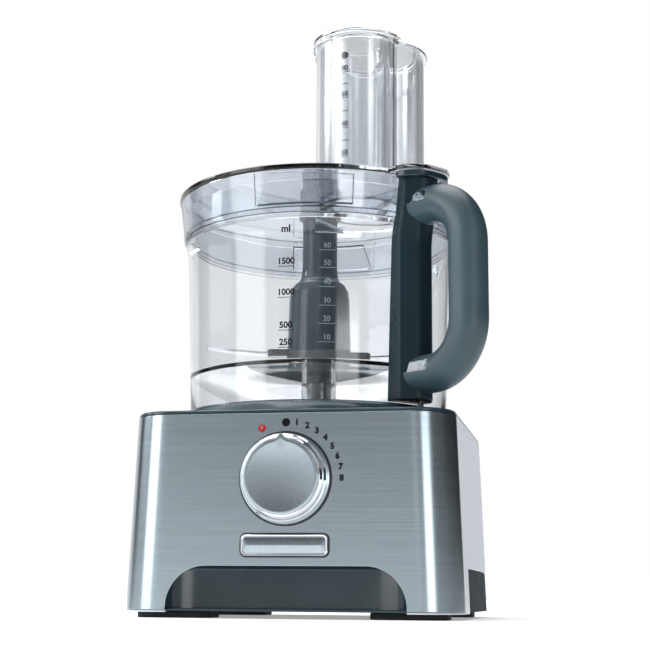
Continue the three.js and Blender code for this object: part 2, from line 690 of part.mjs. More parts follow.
function gripPath() {
  const root = ROD_REACH - 4;
  const bend = 0.5523; // a cubic's handle length for a quarter circle
  const at = (x, z) => new THREE.Vector3(x, 0, z);
  const path = new THREE.CurvePath();
  path.add(new THREE.LineCurve3(at(root, GRIP_LOW), at(GRIP_REACH - LOW_BEND_R, GRIP_LOW)));
  path.add(new THREE.CubicBezierCurve3(
    at(GRIP_REACH - LOW_BEND_R, GRIP_LOW),
    at(GRIP_REACH - LOW_BEND_R * (1 - bend), GRIP_LOW),
    at(GRIP_REACH, GRIP_LOW + LOW_BEND_R * (1 - bend)),
    at(GRIP_REACH, GRIP_LOW + LOW_BEND_R),
  ));
  path.add(new THREE.LineCurve3(
    at(GRIP_REACH, GRIP_LOW + LOW_BEND_R),
    at(GRIP_REACH, GRIP_HIGH - HIGH_BEND_R),
  ));
  path.add(new THREE.CubicBezierCurve3(
    at(GRIP_REACH, GRIP_HIGH - HIGH_BEND_R),
    at(GRIP_REACH, GRIP_HIGH - HIGH_BEND_R * (1 - bend)),
    at(GRIP_REACH - HIGH_BEND_R * (1 - bend), GRIP_HIGH),
    at(GRIP_REACH - HIGH_BEND_R, GRIP_HIGH),
  ));
  path.add(new THREE.LineCurve3(at(GRIP_REACH - HIGH_BEND_R, GRIP_HIGH), at(root, GRIP_HIGH)));
  return path;
}

function bowlHandle() {
  const grip = new THREE.ExtrudeGeometry(regularPolygon(GRIP_R, SMALL), {
    extrudePath: gripPath(), steps: 28, bevelEnabled: false,
  });
  const lockFoot = box(ROD_REACH - 4, ROD_REACH + 8, -8, 8, COLUMN_BOTTOM, COLUMN_BOTTOM + 6);
  const chamber = disc(ROD_COLLAR_R + RUN, SPRING_BOTTOM, SPRING_BOTTOM + SPRING_HEIGHT + COLLAR_HEIGHT
    + ROD_TRAVEL + 2, SMALL).translate(ROD_REACH, 0, 0);
  return cut(
    join(column(), grip, lockFoot),
    bowlAndLidSpace(),
    disc(ROD_R + RUN, 0, 2 * FAR, SMALL).translate(ROD_REACH, 0, 0),
    chamber,
  );
}

// ---------------------------------------------------------------- interlock
function interlockRod() {
  const collar = SPRING_BOTTOM + SPRING_HEIGHT;
  return join(
    disc(ROD_R, COLUMN_BOTTOM + 0.2, ROD_TOP, SMALL),
    disc(ROD_COLLAR_R, collar, collar + COLLAR_HEIGHT, SMALL),
  ).translate([ROD_REACH, 0, 0]);
}

class Helix extends THREE.Curve {
  getPoint(t) {
    const angle = 2 * Math.PI * SPRING_TURNS * t;
    const radius = (ROD_R + ROD_COLLAR_R) / 2;
    const low = SPRING_BOTTOM + GAP + SPRING_WIRE_R;
    const high = SPRING_BOTTOM + SPRING_HEIGHT - GAP - SPRING_WIRE_R;
    return new THREE.Vector3(
      radius * Math.cos(angle), radius * Math.sin(angle), low + (high - low) * t,
    );
  }
}

const rodSpring = () => new THREE.ExtrudeGeometry(regularPolygon(SPRING_WIRE_R, 4), {
  extrudePath: new Helix(), steps: SPRING_TURNS * 8, bevelEnabled: false,
}).translate(ROD_REACH, 0, 0);

const switchPlunger = () => join(
  disc(PLUNGER_R, SWITCH_TOP + GAP, COLUMN_BOTTOM - 0.1, SMALL),
  disc(PLUNGER_FOOT_R, SWITCH_TOP + GAP, SWITCH_TOP + 2, SMALL),
).translate([PLUNGER_HOLE.x, PLUNGER_HOLE.y, 0]);

// ---------------------------------------------------------------- lid
const feedDisc = ({ x, y, r }, extra, z0, z1) =>
  disc(r + extra, z0, z1, FINE).translate(x, y, 0);
const feedShape = (extra, z0, z1) =>
  join(feedDisc(TUBE_A, extra, z0, z1), feedDisc(TUBE_B, extra, z0, z1));

const BEARING_R = KNIFE_PIN_R + RUN;
const BEARING_WALL = 2.6;

function earShape(inset) {
  const shape = new THREE.Shape();
  const halfWidth = EAR_HALF_WIDTH - inset;
  const reach = EAR_REACH - inset;
  shape.moveTo(BOWL_RIM_R, -halfWidth);
  shape.absarc(reach - EAR_R, -halfWidth + EAR_R, EAR_R, -Math.PI / 2, 0);
  shape.absarc(reach - EAR_R, halfWidth - EAR_R, EAR_R, 0, Math.PI / 2);
  shape.lineTo(BOWL_RIM_R, halfWidth);
  shape.closePath();
  return shape;
}

function lid() {
  const turn = degrees(HANDLE_TURN);
  const shell = lathe([
    [0, LID_UNDER],
    [LID_SKIRT_TOP_R - LID_WALL, LID_UNDER],
    [LID_SKIRT_FOOT_R - LID_WALL + GAP, LID_FOOT_Z],
    [LID_SKIRT_FOOT_R, LID_FOOT_Z],
    [LID_SKIRT_TOP_R, LID_UNDER - 0.4],
    [LID_RIM_R, LID_UNDER + 0.2],
    [LID_RIM_R, LID_TOP],
    [0, LID_TOP],
  ], FINE);
  const earLayers = cut(
    join(
      prism(earShape(0), LID_UNDER, LID_TOP).rotateZ(turn),
      cut(
        join(
          prism(earShape(2), LID_UNDER - EAR_GROOVE - PAST, LID_UNDER + PAST),
          prism(earShape(0.8), EAR_BOTTOM, LID_UNDER - EAR_GROOVE),
        ),
        box(0, ROD_REACH + 1, -FAR, FAR, 0, LID_UNDER),
        prism(columnSection(1), 0, LID_UNDER, 4).translate(LID_RIM_R - BOWL_WAIST_R - 1, 0, 0),
      ).rotate([0, 0, HANDLE_TURN]),
    ),
    disc(LID_SKIRT_TOP_R - LID_WALL / 2, EAR_BOTTOM - PAST, LID_TOP + PAST, FINE),
  );
  const tube = join(
    feedShape(0, LID_UNDER + 1, TUBE_TOP),
    feedDisc(TUBE_A, TUBE_RIM, TUBE_TOP - TUBE_RIM_HEIGHT, TUBE_TOP),
    feedDisc(TUBE_B, TUBE_RIM, TUBE_TOP - TUBE_RIM_HEIGHT / 2, TUBE_TOP),
  );
  const bearing = disc(BEARING_R + BEARING_WALL, LID_UNDER - 3.5, LID_TOP);
  return cut(
    join(
      cut(join(shell, earLayers, tube), feedShape(-TUBE_WALL, LID_UNDER - PAST, TUBE_TOP + PAST)),
      bearing,
    ),
    disc(BEARING_R, LID_UNDER - 5, LID_UNDER + 0.4),
  );
}

// ---------------------------------------------------------------- pushers
const PUSHER_BOTTOM = LID_TOP + 2;
const PUSHER_TOP = TUBE_TOP + GAP + PUSHER_FLANGE;

function feedPusher() {
  const clearance = -TUBE_WALL - 2 * GAP;
  const sleeve = SMALL_FEED_R + PUSHER_WALL;
  const wall = join(
    feedShape(clearance, PUSHER_BOTTOM, TUBE_TOP + GAP + PUSHER_FLANGE / 2),
    feedDisc(TUBE_A, TUBE_RIM, TUBE_TOP + GAP, PUSHER_TOP),
    feedDisc(TUBE_B, -TUBE_WALL / 2, TUBE_TOP + GAP, TUBE_TOP + GAP + PUSHER_FLANGE / 2),
  );
  const hollow = cut(
    feedShape(clearance - PUSHER_WALL, PUSHER_BOTTOM + PUSHER_WALL, PUSHER_TOP + PAST),
    disc(sleeve, 0, TUBE_TOP, FINE).translate(TUBE_A.x, TUBE_A.y, 0),
  );
  return cut(wall, hollow, disc(SMALL_FEED_R, 0, 2 * FAR, FINE).translate(TUBE_A.x, TUBE_A.y, 0));
}

function smallPusher() {
  const r = SMALL_FEED_R - 2 * GAP;
  const flangeR = SMALL_FEED_R + PUSHER_WALL - GAP;
  const top = PUSHER_TOP - 0.2;
  return lathe([
    [0, PUSHER_BOTTOM], [r, PUSHER_BOTTOM], [r, TUBE_TOP + GAP],
    [flangeR, TUBE_TOP + GAP], [flangeR, top],
    [r - PUSHER_WALL, top], [r - PUSHER_WALL, PUSHER_BOTTOM + PUSHER_WALL],
    [0, PUSHER_BOTTOM + PUSHER_WALL],
  ], FINE).translate(TUBE_A.x, TUBE_A.y, 0);
}

// ---------------------------------------------------------------- knife
const HEX_START = KNIFE_TOP - 52;
const SHAFT_TOP = KNIFE_TOP - 26;
const WING_HALF_WIDTH = 9;
const WING_THICKNESS = 5;
const BLADES = {
  knife_blade_lower: { rise: LOW_BLADE_RISE, turn: 11 },
  knife_blade_upper: { rise: HIGH_BLADE_RISE, turn: 191 },
};

function bladeShape(extra) {
  const root = HUB_FOOT_R + 2 - extra;
  const half = WING_HALF_WIDTH - 2 + extra;
  const shape = new THREE.Shape();
  shape.moveTo(root, -half);
  shape.lineTo(WING_REACH + 4, -half);
  shape.quadraticCurveTo(BLADE_REACH - 10, -half - 1, BLADE_REACH - 1, half + 6);
  shape.quadraticCurveTo(BLADE_REACH - 20, half + 1, WING_REACH + 4, half);
  shape.lineTo(root, half);
  shape.closePath();
  return shape;
}

function blade({ rise, turn }, extra = 0) {
  const z = HUB_BOTTOM + rise;
  const geometry = prism(bladeShape(extra), z - extra, z + BLADE_THICKNESS + extra, 6);
  const place = geometry.attributes.position;
  const bendStart = WING_REACH + 4;
  for (let i = 0; i < place.count; i += 1) {
    const share = Math.max(0, place.getX(i) - bendStart) / (BLADE_REACH - bendStart);
    place.setZ(i, place.getZ(i) + BLADE_SWEEP * share);
  }
  return geometry.rotateZ(degrees(turn));
}

function knifeHub() {
  const boreR = SHAFT_R + RUN;
  const shoulder = KNIFE_TOP - 56.5;
  const neck = shoulder + 18;
  const body = lathe([
    [0, HUB_BOTTOM], [HUB_FOOT_R - 3, HUB_BOTTOM], [HUB_FOOT_R, HUB_BOTTOM + 3],
    [HUB_FOOT_R, HUB_BOTTOM + 20], [HUB_R, shoulder - 3], [HUB_R - 0.8, shoulder],
    [NECK_R + 0.8, neck - 1.5], [NECK_R, neck], [NECK_R, KNIFE_TOP - 7],
    [CAP_R, KNIFE_TOP - 4.5], [CAP_R, KNIFE_TOP - 0.8], [CAP_R - 0.8, KNIFE_TOP],
    [KNIFE_PIN_R, KNIFE_TOP], [KNIFE_PIN_R, LID_UNDER - RUN], [0, LID_UNDER - RUN],
  ], MEDIUM);
  const wings = Object.values(BLADES).map(({ rise, turn }) => {
    const low = HUB_BOTTOM + rise + BLADE_THICKNESS / 2 - WING_THICKNESS / 2;
    const plan = roundedRectangle(0, WING_REACH, -WING_HALF_WIDTH, WING_HALF_WIDTH, 4);
    return prism(plan, low, low + WING_THICKNESS, 3).rotateZ(degrees(turn));
  });
  return cut(
    join(body, ...wings),
    disc(boreR, HUB_BOTTOM - PAST, HEX_START + 4),
    prism(regularPolygon(boreR, 6), HEX_START - PAST, SHAFT_TOP + 1),
    ...Object.values(BLADES).map((spec) => blade(spec, GAP)),
  );
}

// ---------------------------------------------------------------- spindle and shaft
const COUPLING_BOTTOM = WELL_FLOOR + DECK_BOSS_RISE - 7 + RUN;
const COUPLING_TOP = CHIMNEY_TOP - 1.5;
const SPINDLE_TOP = COUPLING_BOTTOM + 15;
const SPINDLE_HEX_R = SHAFT_R;

const driveSpindle = () => join(
  disc(SHAFT_R, FLOOR_TOP + 1, COUPLING_BOTTOM),
  prism(regularPolygon(SPINDLE_HEX_R, 6), COUPLING_BOTTOM - PAST, SPINDLE_TOP),
);

const shaftCoupling = () => cut(
  lathe([
    [0, COUPLING_BOTTOM], [COUPLING_R, COUPLING_BOTTOM],
    [COUPLING_R, COUPLING_TOP - 2], [COUPLING_R - 2, COUPLING_TOP], [0, COUPLING_TOP],
  ], MEDIUM),
  prism(regularPolygon(SPINDLE_HEX_R + GAP + 0.1, 6), 0, SPINDLE_TOP + GAP),
  disc(SHAFT_R - 1 + GAP, SPINDLE_TOP, COUPLING_TOP + PAST),
);

const driveShaft = () => join(
  disc(SHAFT_R - 1, SPINDLE_TOP + 2 * GAP, COUPLING_TOP + 1.5),
  disc(SHAFT_R, COUPLING_TOP + GAP, HEX_START + 3),
  prism(regularPolygon(SHAFT_R, 6), HEX_START, SHAFT_TOP),
);

const SPINDLE_SEAT_R = 11;
const TOWER_R = 14;
const TOWER_TOP = CASING_TOP - 18;
const PLATE = 4;
const SEAT_DEPTH = 7;

function pulley(r, bore) {
  const flange = r + BELT_THICKNESS - 0.5;
  return lathe([
    [bore, PULLEY_BOTTOM], [flange, PULLEY_BOTTOM], [flange, PULLEY_BOTTOM + PULLEY_FLANGE],
    [r, PULLEY_BOTTOM + PULLEY_FLANGE], [r, PULLEY_TOP - PULLEY_FLANGE],
    [flange, PULLEY_TOP - PULLEY_FLANGE], [flange, PULLEY_TOP], [bore, PULLEY_TOP],
  ], r > 20 ? FINE : MEDIUM);
}

// The belt's outline round both pulleys, at one distance off their grooves.
function beltLoop(extra) {
  const big = BIG_PULLEY_R + extra;
  const small = SMALL_PULLEY_R + extra;
  const slope = Math.asin((big - small) / MOTOR_Y);
  const shape = new THREE.Shape();
  shape.absarc(0, 0, big, Math.PI - slope, slope + 2 * Math.PI);
  shape.absarc(0, MOTOR_Y, small, slope, Math.PI - slope);
  shape.closePath();
  return shape;
}

const driveBelt = () => cut(
  prism(beltLoop(GAP + BELT_THICKNESS), BELT_BOTTOM, BELT_BOTTOM + BELT_WIDTH, SMALL),
  prism(beltLoop(GAP), BELT_BOTTOM - PAST, BELT_BOTTOM + BELT_WIDTH + PAST, SMALL),
);

function spindleBracket() {
  const arms = SPINDLE_POSTS.map(([x, y]) => {
    const length = Math.hypot(x, y) + POST_R;
    return box(0, length, -6, 6, BRACKET_BOTTOM, BRACKET_BOTTOM + PLATE).rotateZ(Math.atan2(y, x));
  });
  return cut(
    join(
      disc(TOWER_R, BRACKET_BOTTOM, TOWER_TOP),
      disc(TOWER_R + 6, BRACKET_BOTTOM, BRACKET_BOTTOM + PLATE),
      ...arms,
    ),
    disc(SHAFT_R + 2, 0, FAR),
    disc(SPINDLE_SEAT_R + GAP, 0, BRACKET_BOTTOM + SEAT_DEPTH + GAP),
    disc(SPINDLE_SEAT_R + GAP, TOWER_TOP - SEAT_DEPTH - GAP, FAR),
  );
}

const bearing = (rOut, rIn, z) => ring(rOut, rIn + GAP, z, z + SEAT_DEPTH);

// ---------------------------------------------------------------- motor
const FAN_BOTTOM = BRACKET_BOTTOM + PLATE + 3;
const FAN_HEIGHT = 8;
const STATOR_BOTTOM = FAN_BOTTOM + FAN_HEIGHT + 3;
const STATOR_HEIGHT = 34;
const STATOR_TOP = STATOR_BOTTOM + STATOR_HEIGHT;
const COMMUTATOR_R = 11;
const COMMUTATOR_BOTTOM = STATOR_TOP + 2;
const COMMUTATOR_HEIGHT = 12;
const MOTOR_PLATE_TOP = COMMUTATOR_BOTTOM + COMMUTATOR_HEIGHT + 8;
const POLE_GAP = 0.8;
const COIL_INNER = ARMATURE_R + POLE_GAP + 2;
const COIL_OUTER = STATOR_HALF_WIDTH - 4;
const COIL_HALF_WIDTH = 9;

function stator() {
  const plan = roundedRectangle(-STATOR_HALF_WIDTH, STATOR_HALF_WIDTH,
    -STATOR_HALF_WIDTH, STATOR_HALF_WIDTH, 9);
  const slots = [0, 180].map((angle) =>
    box(COIL_INNER - GAP, COIL_OUTER + GAP, -COIL_HALF_WIDTH - GAP, COIL_HALF_WIDTH + GAP, 0, FAR)
      .rotateZ(degrees(angle)));
  return cut(prism(plan, STATOR_BOTTOM, STATOR_TOP, 3),
    disc(ARMATURE_R + POLE_GAP, 0, FAR), ...slots);
}

// A field winding, as one block through its slot and over both ends of the core.
const fieldCoil = (side) => join(
  box(COIL_INNER, COIL_OUTER, -COIL_HALF_WIDTH, COIL_HALF_WIDTH, STATOR_BOTTOM - 2.2, STATOR_TOP + 2.2),
  box(
    COIL_INNER - 1, COIL_OUTER + 2,
    -COIL_HALF_WIDTH - 4, COIL_HALF_WIDTH + 4,
    STATOR_TOP + GAP, STATOR_TOP + 2.2,
  ),
).rotate([0, 0, side === 'left' ? 180 : 0]);

function motorBracket(z, postZ0, postZ1, bearingZ) {
  const half = STATOR_HALF_WIDTH - 2;
  const plan = roundedRectangle(-half, half, -half, half, 6);
  const posts = [[-1, -1], [1, -1], [1, 1], [-1, 1]].map(([x, y]) =>
    disc(POST_R, postZ0, postZ1, SMALL).translate(x * (half - 5), y * (half - 5), 0));
  return cut(
    join(prism(plan, z, z + PLATE, 3), disc(12, bearingZ - GAP, bearingZ + SEAT_DEPTH - GAP), ...posts),
    disc(MOTOR_BEARING_R + GAP, bearingZ - PAST, bearingZ + SEAT_DEPTH + PAST),
  );
}

const MOTOR_BEARING_R = 9;

function coolingFan() {
  const blades = Array.from({ length: 9 }, (_, i) =>
    box(7, STATOR_HALF_WIDTH - 5, -0.8, 0.8, FAN_BOTTOM, FAN_BOTTOM + FAN_HEIGHT)
      .rotateZ((i * 2 * Math.PI) / 9));
  return cut(
    join(
      disc(STATOR_HALF_WIDTH - 6, FAN_BOTTOM, FAN_BOTTOM + 1.5),
      disc(9, FAN_BOTTOM, FAN_BOTTOM + FAN_HEIGHT, SMALL),
      ...blades,
    ),
    disc(MOTOR_SHAFT_R + GAP, 0, FAR, SMALL),
  );
}

function armature() {
  const slots = Array.from({ length: 12 }, (_, i) =>
    box(ARMATURE_R - 3, ARMATURE_R + 2, -1.2, 1.2, 0, FAR).rotateZ((i * 2 * Math.PI) / 12));
  return cut(
    disc(ARMATURE_R, STATOR_BOTTOM + 1, STATOR_TOP - 1),
    disc(MOTOR_SHAFT_R + GAP, 0, FAR, SMALL), ...slots,
  );
}

const commutator = () =>
  ring(COMMUTATOR_R, MOTOR_SHAFT_R + GAP, COMMUTATOR_BOTTOM, COMMUTATOR_BOTTOM + COMMUTATOR_HEIGHT);

function brushHolder(side) {
  const z = COMMUTATOR_BOTTOM + 2;
  const reach = COMMUTATOR_R + RUN;
  return join(
    box(reach, reach + 12, -3.5, 3.5, z, z + 8),
    box(reach + 8, STATOR_HALF_WIDTH - 10, -2, 2, z + 2, MOTOR_PLATE_TOP - PLATE - GAP),
  ).rotate([0, 0, side === 'left' ? 180 : 0]);
}

// ---------------------------------------------------------------- electrics
function speedSwitch() {
  const back = CARRIER_INNER + GAP;
  return cut(
    box(-17, 17, DIAL_Z - 17, DIAL_Z + 17, -back - 18, -back),
    disc(DIAL_STEM_R + RUN, -back - 14, 0, SMALL).translate(0, DIAL_Z, 0),
  );
}

// ---------------------------------------------------------------- assemble: base
piece('front_panel', frontPanel(), brushedSteel());
piece('side_housing', sideHousing(), silverPlastic());
piece('underbody', underbody(), darkPlastic());
piece('top_deck', topDeck(), darkPlastic());
for (const [name, [x, y]] of Object.entries(FEET)) piece(name, foot(x, y), blackRubber());
for (const [side, x] of [['right', SCREW_X], ['left', -SCREW_X]]) {
  for (const [end, y] of Object.entries(SCREW_YS)) {
    piece(`case_screw_${end}_${side}`, caseScrew(x, y), polishedSteel());
  }
}

const front = faceFrame(0, -BASE_FRONT, 0, 1);
const dial = faceFrame(0, -BASE_FRONT, DIAL_Z, 1);
const rear = faceFrame(GLAND_X, BASE_BACK, GLAND_Z, -1);

piece('dial_bezel', ring(DIAL_R, DIAL_R - 5, GAP, 1.3, FINE), blackPlastic(), dial);
piece('speed_knob', cut(
  join(
    lathe([
      [0, 1.7], [DIAL_R - 1.2, 1.7], [DIAL_R - 0.9, 2.6], [DIAL_R - 2.2, 7.5],
      [DIAL_R - 3, 8.3], [DIAL_R - 3.6, 11.6], [DIAL_R - 5, DIAL_DEPTH - 1.7], [0, DIAL_DEPTH - 1.7],
    ], FINE),
    disc(DIAL_STEM_R, -CARRIER_INNER - 12, 3, SMALL),
  ),
  lathe([
    [DIAL_STEM_R + 2, 1], [DIAL_R - 6, 1], [DIAL_R - 7, DIAL_DEPTH - 4], [DIAL_STEM_R + 2, DIAL_DEPTH - 4],
  ], MEDIUM),
), chrome(), dial);

function knobFace() {
  const shoulder = Math.acos(POINTER_HALF_WIDTH / DIAL_FACE_R);
  const shape = new THREE.Shape();
  shape.absarc(0, 0, DIAL_FACE_R, Math.PI - shoulder, shoulder + 2 * Math.PI);
  shape.lineTo(0, POINTER_REACH);
  shape.closePath();
  return prism(shape, DIAL_DEPTH - 1.7 + GAP, DIAL_DEPTH, MEDIUM);
}
piece('knob_face', knobFace(), brushedSteel(), dial);

const badgeOutline = (inset, r) => roundedRectangle(
  -BADGE_WIDTH / 2 + inset, BADGE_WIDTH / 2 - inset,
  BADGE_Z - BADGE_HEIGHT / 2 + inset, BADGE_Z + BADGE_HEIGHT / 2 - inset, r,
);
piece('badge_frame', cut(
  prism(badgeOutline(0, 3.2), GAP, 2),
  prism(badgeOutline(BADGE_BORDER, 2), 0.9, 3),
), chrome(), front);
piece('badge_plate', prism(badgeOutline(BADGE_BORDER + GAP, 1.8), 0.9 + GAP, 1.7),
  brushedSteel(), front);

piece('cord_gland', cut(
  join(disc(GLAND_R, -6, 1), disc(GLAND_R + 2.5, GAP, 2.2)),
  disc(3.6, -10, 10, SMALL),
), blackRubber(), rear);
piece('speed_switch', speedSwitch(), blackPlastic(), front);

// ---------------------------------------------------------------- assemble: electrics
const boardFace = BOARD_Y + BOARD_THICKNESS + GAP;
piece('control_board', box(
  -BOARD_HALF_WIDTH, BOARD_HALF_WIDTH, BOARD_Y, BOARD_Y + BOARD_THICKNESS,
  BOARD_BOTTOM, BOARD_BOTTOM + BOARD_HEIGHT,
), boardGreen());
piece('filter_capacitor', disc(CAPACITOR_R, 0, CAPACITOR_LENGTH).rotateX(-Math.PI / 2)
  .translate(-42, boardFace, BOARD_BOTTOM + 14), blackPlastic());
piece('triac_heat_sink', join(
  box(0, 22, 0, 2, 0, HEAT_SINK_HEIGHT),
  ...[0, 1, 2, 3].map((i) => box(2 + i * 5.5, 3.6 + i * 5.5, 1, 12, 0, HEAT_SINK_HEIGHT)),
).translate([30, boardFace, BOARD_BOTTOM + 5]), castAlloy());
piece('interlock_switch', cut(
  box(-SWITCH_STEP_END, 6, -SWITCH_HALF_DEPTH, SWITCH_HALF_DEPTH, SWITCH_TOP - SWITCH_HEIGHT, SWITCH_TOP),
  box(-FAR, -SWITCH_STEP, -FAR, FAR, SWITCH_TOP - SWITCH_STEP_DEPTH, FAR),
).translate([PLUNGER_HOLE.x, PLUNGER_HOLE.y, 0]), blackPlastic());
piece('switch_plunger', switchPlunger(), blackPlastic());

// ---------------------------------------------------------------- assemble: drive
piece('spindle_bracket', spindleBracket(), castAlloy());
piece('spindle_bearing_lower', bearing(SPINDLE_SEAT_R, SHAFT_R, BRACKET_BOTTOM), polishedSteel());
piece('spindle_bearing_upper', bearing(SPINDLE_SEAT_R, SHAFT_R, TOWER_TOP - SEAT_DEPTH), polishedSteel());
piece('drive_spindle', driveSpindle(), polishedSteel());
piece('spindle_pulley', cut(
  pulley(BIG_PULLEY_R, SHAFT_R + GAP),
  ...Array.from({ length: 5 }, (_, i) => disc(7, 0, 50, SMALL).translate(26, 0, 0)
    .rotateZ((i * 2 * Math.PI) / 5)),
), blackPlastic());
piece('drive_belt', driveBelt(), blackRubber());
piece('shaft_coupling', shaftCoupling(), darkPlastic());
piece('drive_shaft', driveShaft(), polishedSteel());

piece('stator_core', stator(), laminatedIron(), motorFrame);
piece('field_coil_left', fieldCoil('left'), copper(), motorFrame);
piece('field_coil_right', fieldCoil('right'), copper(), motorFrame);
piece('motor_bracket_lower', motorBracket(
  BRACKET_BOTTOM, BRACKET_BOTTOM + PLATE - PAST, STATOR_BOTTOM - GAP, BRACKET_BOTTOM,
), castAlloy(), motorFrame);
piece('motor_bracket_upper', motorBracket(
  MOTOR_PLATE_TOP - PLATE, STATOR_TOP + GAP, MOTOR_PLATE_TOP - PLATE + PAST, MOTOR_PLATE_TOP - SEAT_DEPTH,
), castAlloy(), motorFrame);
piece(
  'motor_bearing_lower', bearing(MOTOR_BEARING_R, MOTOR_SHAFT_R, BRACKET_BOTTOM),
  polishedSteel(), motorFrame,
);
piece('motor_bearing_upper', bearing(MOTOR_BEARING_R, MOTOR_SHAFT_R, MOTOR_PLATE_TOP - SEAT_DEPTH),
  polishedSteel(), motorFrame);
piece(
  'motor_shaft', disc(MOTOR_SHAFT_R, PULLEY_BOTTOM - 1, MOTOR_PLATE_TOP + 2, SMALL),
  polishedSteel(), motorFrame,
);
piece('motor_pulley', pulley(SMALL_PULLEY_R, MOTOR_SHAFT_R + GAP), castAlloy(), motorFrame);
piece('cooling_fan', coolingFan(), blackPlastic(), motorFrame);
piece('armature', armature(), laminatedIron(), motorFrame);
piece('commutator', commutator(), copper(), motorFrame);
piece('brush_holder_left', brushHolder('left'), blackPlastic(), motorFrame);
piece('brush_holder_right', brushHolder('right'), blackPlastic(), motorFrame);

// ---------------------------------------------------------------- assemble: bowl, knife, lid
piece('bowl', bowl(), clearPlastic());
piece('bowl_handle', bowlHandle(), darkPlastic(), handleFrame);
piece('interlock_rod', interlockRod(), blackPlastic(), handleFrame);
piece('rod_spring', rodSpring(), polishedSteel(), handleFrame);
piece('knife_hub', knifeHub(), darkPlastic());
for (const [name, spec] of Object.entries(BLADES)) piece(name, blade(spec), polishedSteel());
piece('lid', lid(), clearPlastic());
piece('feed_pusher', feedPusher(), clearPlastic());
piece('small_pusher', smallPusher(), clearPlastic());

// ---------------------------------------------------------------- the part's frame
const bounds = new THREE.Box3().setFromObject(machine, true);
const centre = bounds.getCenter(new THREE.Vector3());
machine.position.set(-centre.x, -centre.y, -bounds.min.z);

const part = new THREE.Group();
part.add(machine);

export default part;
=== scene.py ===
# The looks of the food processor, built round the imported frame.
from math import acos, atan2, cos, degrees, hypot, pi, radians, sin, sqrt, tan
import bmesh
import bpy
from mathutils import Matrix, Vector


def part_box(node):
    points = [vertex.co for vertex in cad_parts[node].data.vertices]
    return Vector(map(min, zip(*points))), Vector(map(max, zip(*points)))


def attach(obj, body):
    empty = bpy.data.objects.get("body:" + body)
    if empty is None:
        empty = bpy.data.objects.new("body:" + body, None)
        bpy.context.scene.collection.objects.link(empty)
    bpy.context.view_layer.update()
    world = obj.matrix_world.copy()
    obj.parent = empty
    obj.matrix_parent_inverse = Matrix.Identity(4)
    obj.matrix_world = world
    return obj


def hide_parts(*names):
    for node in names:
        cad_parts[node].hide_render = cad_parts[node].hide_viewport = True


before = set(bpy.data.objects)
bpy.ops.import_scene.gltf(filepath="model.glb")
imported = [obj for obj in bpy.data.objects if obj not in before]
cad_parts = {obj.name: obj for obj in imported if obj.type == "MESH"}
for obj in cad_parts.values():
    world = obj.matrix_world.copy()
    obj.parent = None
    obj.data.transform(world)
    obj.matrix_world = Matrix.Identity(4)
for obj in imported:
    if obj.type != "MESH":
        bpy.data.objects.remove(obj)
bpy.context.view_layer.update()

# Everything below is in millimetres from the bowl's axis and the worktop.
low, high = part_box("drive_spindle")
AXIS = Vector(((low.x + high.x) / 2, (low.y + high.y) / 2, 0))
MM = 0.001
TO_ROW = Matrix.Translation(AXIS) @ Matrix.Scale(MM, 4)


# ------------------------------------------------------------------ sizes
BASE_HALF, BASE_FRONT, BASE_BACK = 105.4, 99.3, 108.0
FRONT_R, REAR_R = 27.0, 20.0
NARROWING = 4.4  # each side leans in by this much up to the deck
CASE_LOW, CASE_TOP = 3.5, 123.0
CASE_WALL, STEEL = 2.5, 1.2
GAP = 0.3  # between neighbouring casing pieces
PANEL_LOW = 4.7
SEAM_Y = -BASE_FRONT + FRONT_R
ARCH_HALF, ARCH_TOP, ARCH_R = 73.5, 31.0, 24.0
BAND_Y = -44.0
GRILLE_SLOTS, GRILLE_PITCH, GRILLE_HALF = 7, 9.0, 1.75
GRILLE_LOW, GRILLE_TOP = 52, 92
FOOT_TOP = 3.9
TRAY_TOP = 5.8
MOTOR_Y = 60.0
GLAND_X, GLAND_Z = 62.0, 47.0
DIAL_Z, BADGE_Z = 83.1, 43.3
NUMBER_R, MARK_R = 34.5, 34.0  # the dial's numbers and its two dots

DECK_TOP = CASE_TOP + 2.6
COLLAR_RISE = 7.1
COLLAR_TOP = DECK_TOP + COLLAR_RISE
WELL_R = 87.6
WELL_FLOOR = DECK_TOP + 3.7

BOWL_FOOT = WELL_FLOOR + 0.3
BOWL_FOOT_R, BOWL_TOP_R, BOWL_WALL = 86.2, 90.0, 2.3
BOWL_FLOOR = BOWL_FOOT + 26.4
BOWL_FLOOR_TOP = BOWL_FLOOR + 2.3
LID_LINE = BOWL_FOOT + 121.4
FLARE_RISE = 19.0
FLARE_START = LID_LINE - FLARE_RISE
RIM_R, RIM_RISE = 91.0, 22.0

LID_TOP = LID_LINE + 31
LID_UNDER = LID_TOP - 3
SKIRT_R = 93.5
TUBE_TOP = LID_TOP + 120
TUBE_A, TUBE_A_R = (24.5, 12.5), 30.0
TUBE_B, TUBE_B_R = (30.0, 35.0), 38.5
PUSHER_LOW = LID_TOP + 2
PUSHER_TOP = TUBE_TOP + 2.7
SMALL_PUSHER_R = 20.4

HANDLE_TURN = -40.0
ROD_REACH = 102.0
GRIP_REACH, GRIP_R = 145.0, 12.2
GRIP_LOW, GRIP_HIGH = 149.5, 257.5
LOW_BEND_R, HIGH_BEND_R = 31.0, 30.0
COLUMN_EDGE, COLUMN_HALF = 98.5, 13.8

KNIFE_TOP = LID_TOP - 6.5
HUB_LOW = BOWL_FLOOR_TOP + 6.4
BLADES = (("knife_blade_lower", 7.3, 11), ("knife_blade_upper", 9.3, 191))  # rise over HUB_LOW, turn
HUB_BORE_R = 5.6
SHAFT_R, SHAFT_LOW, SHAFT_HEX, SHAFT_TOP = 5.0, 163.1, 226.5, 249.5
COUPLING_LOW, COUPLING_TOP = 131.4, 162.8


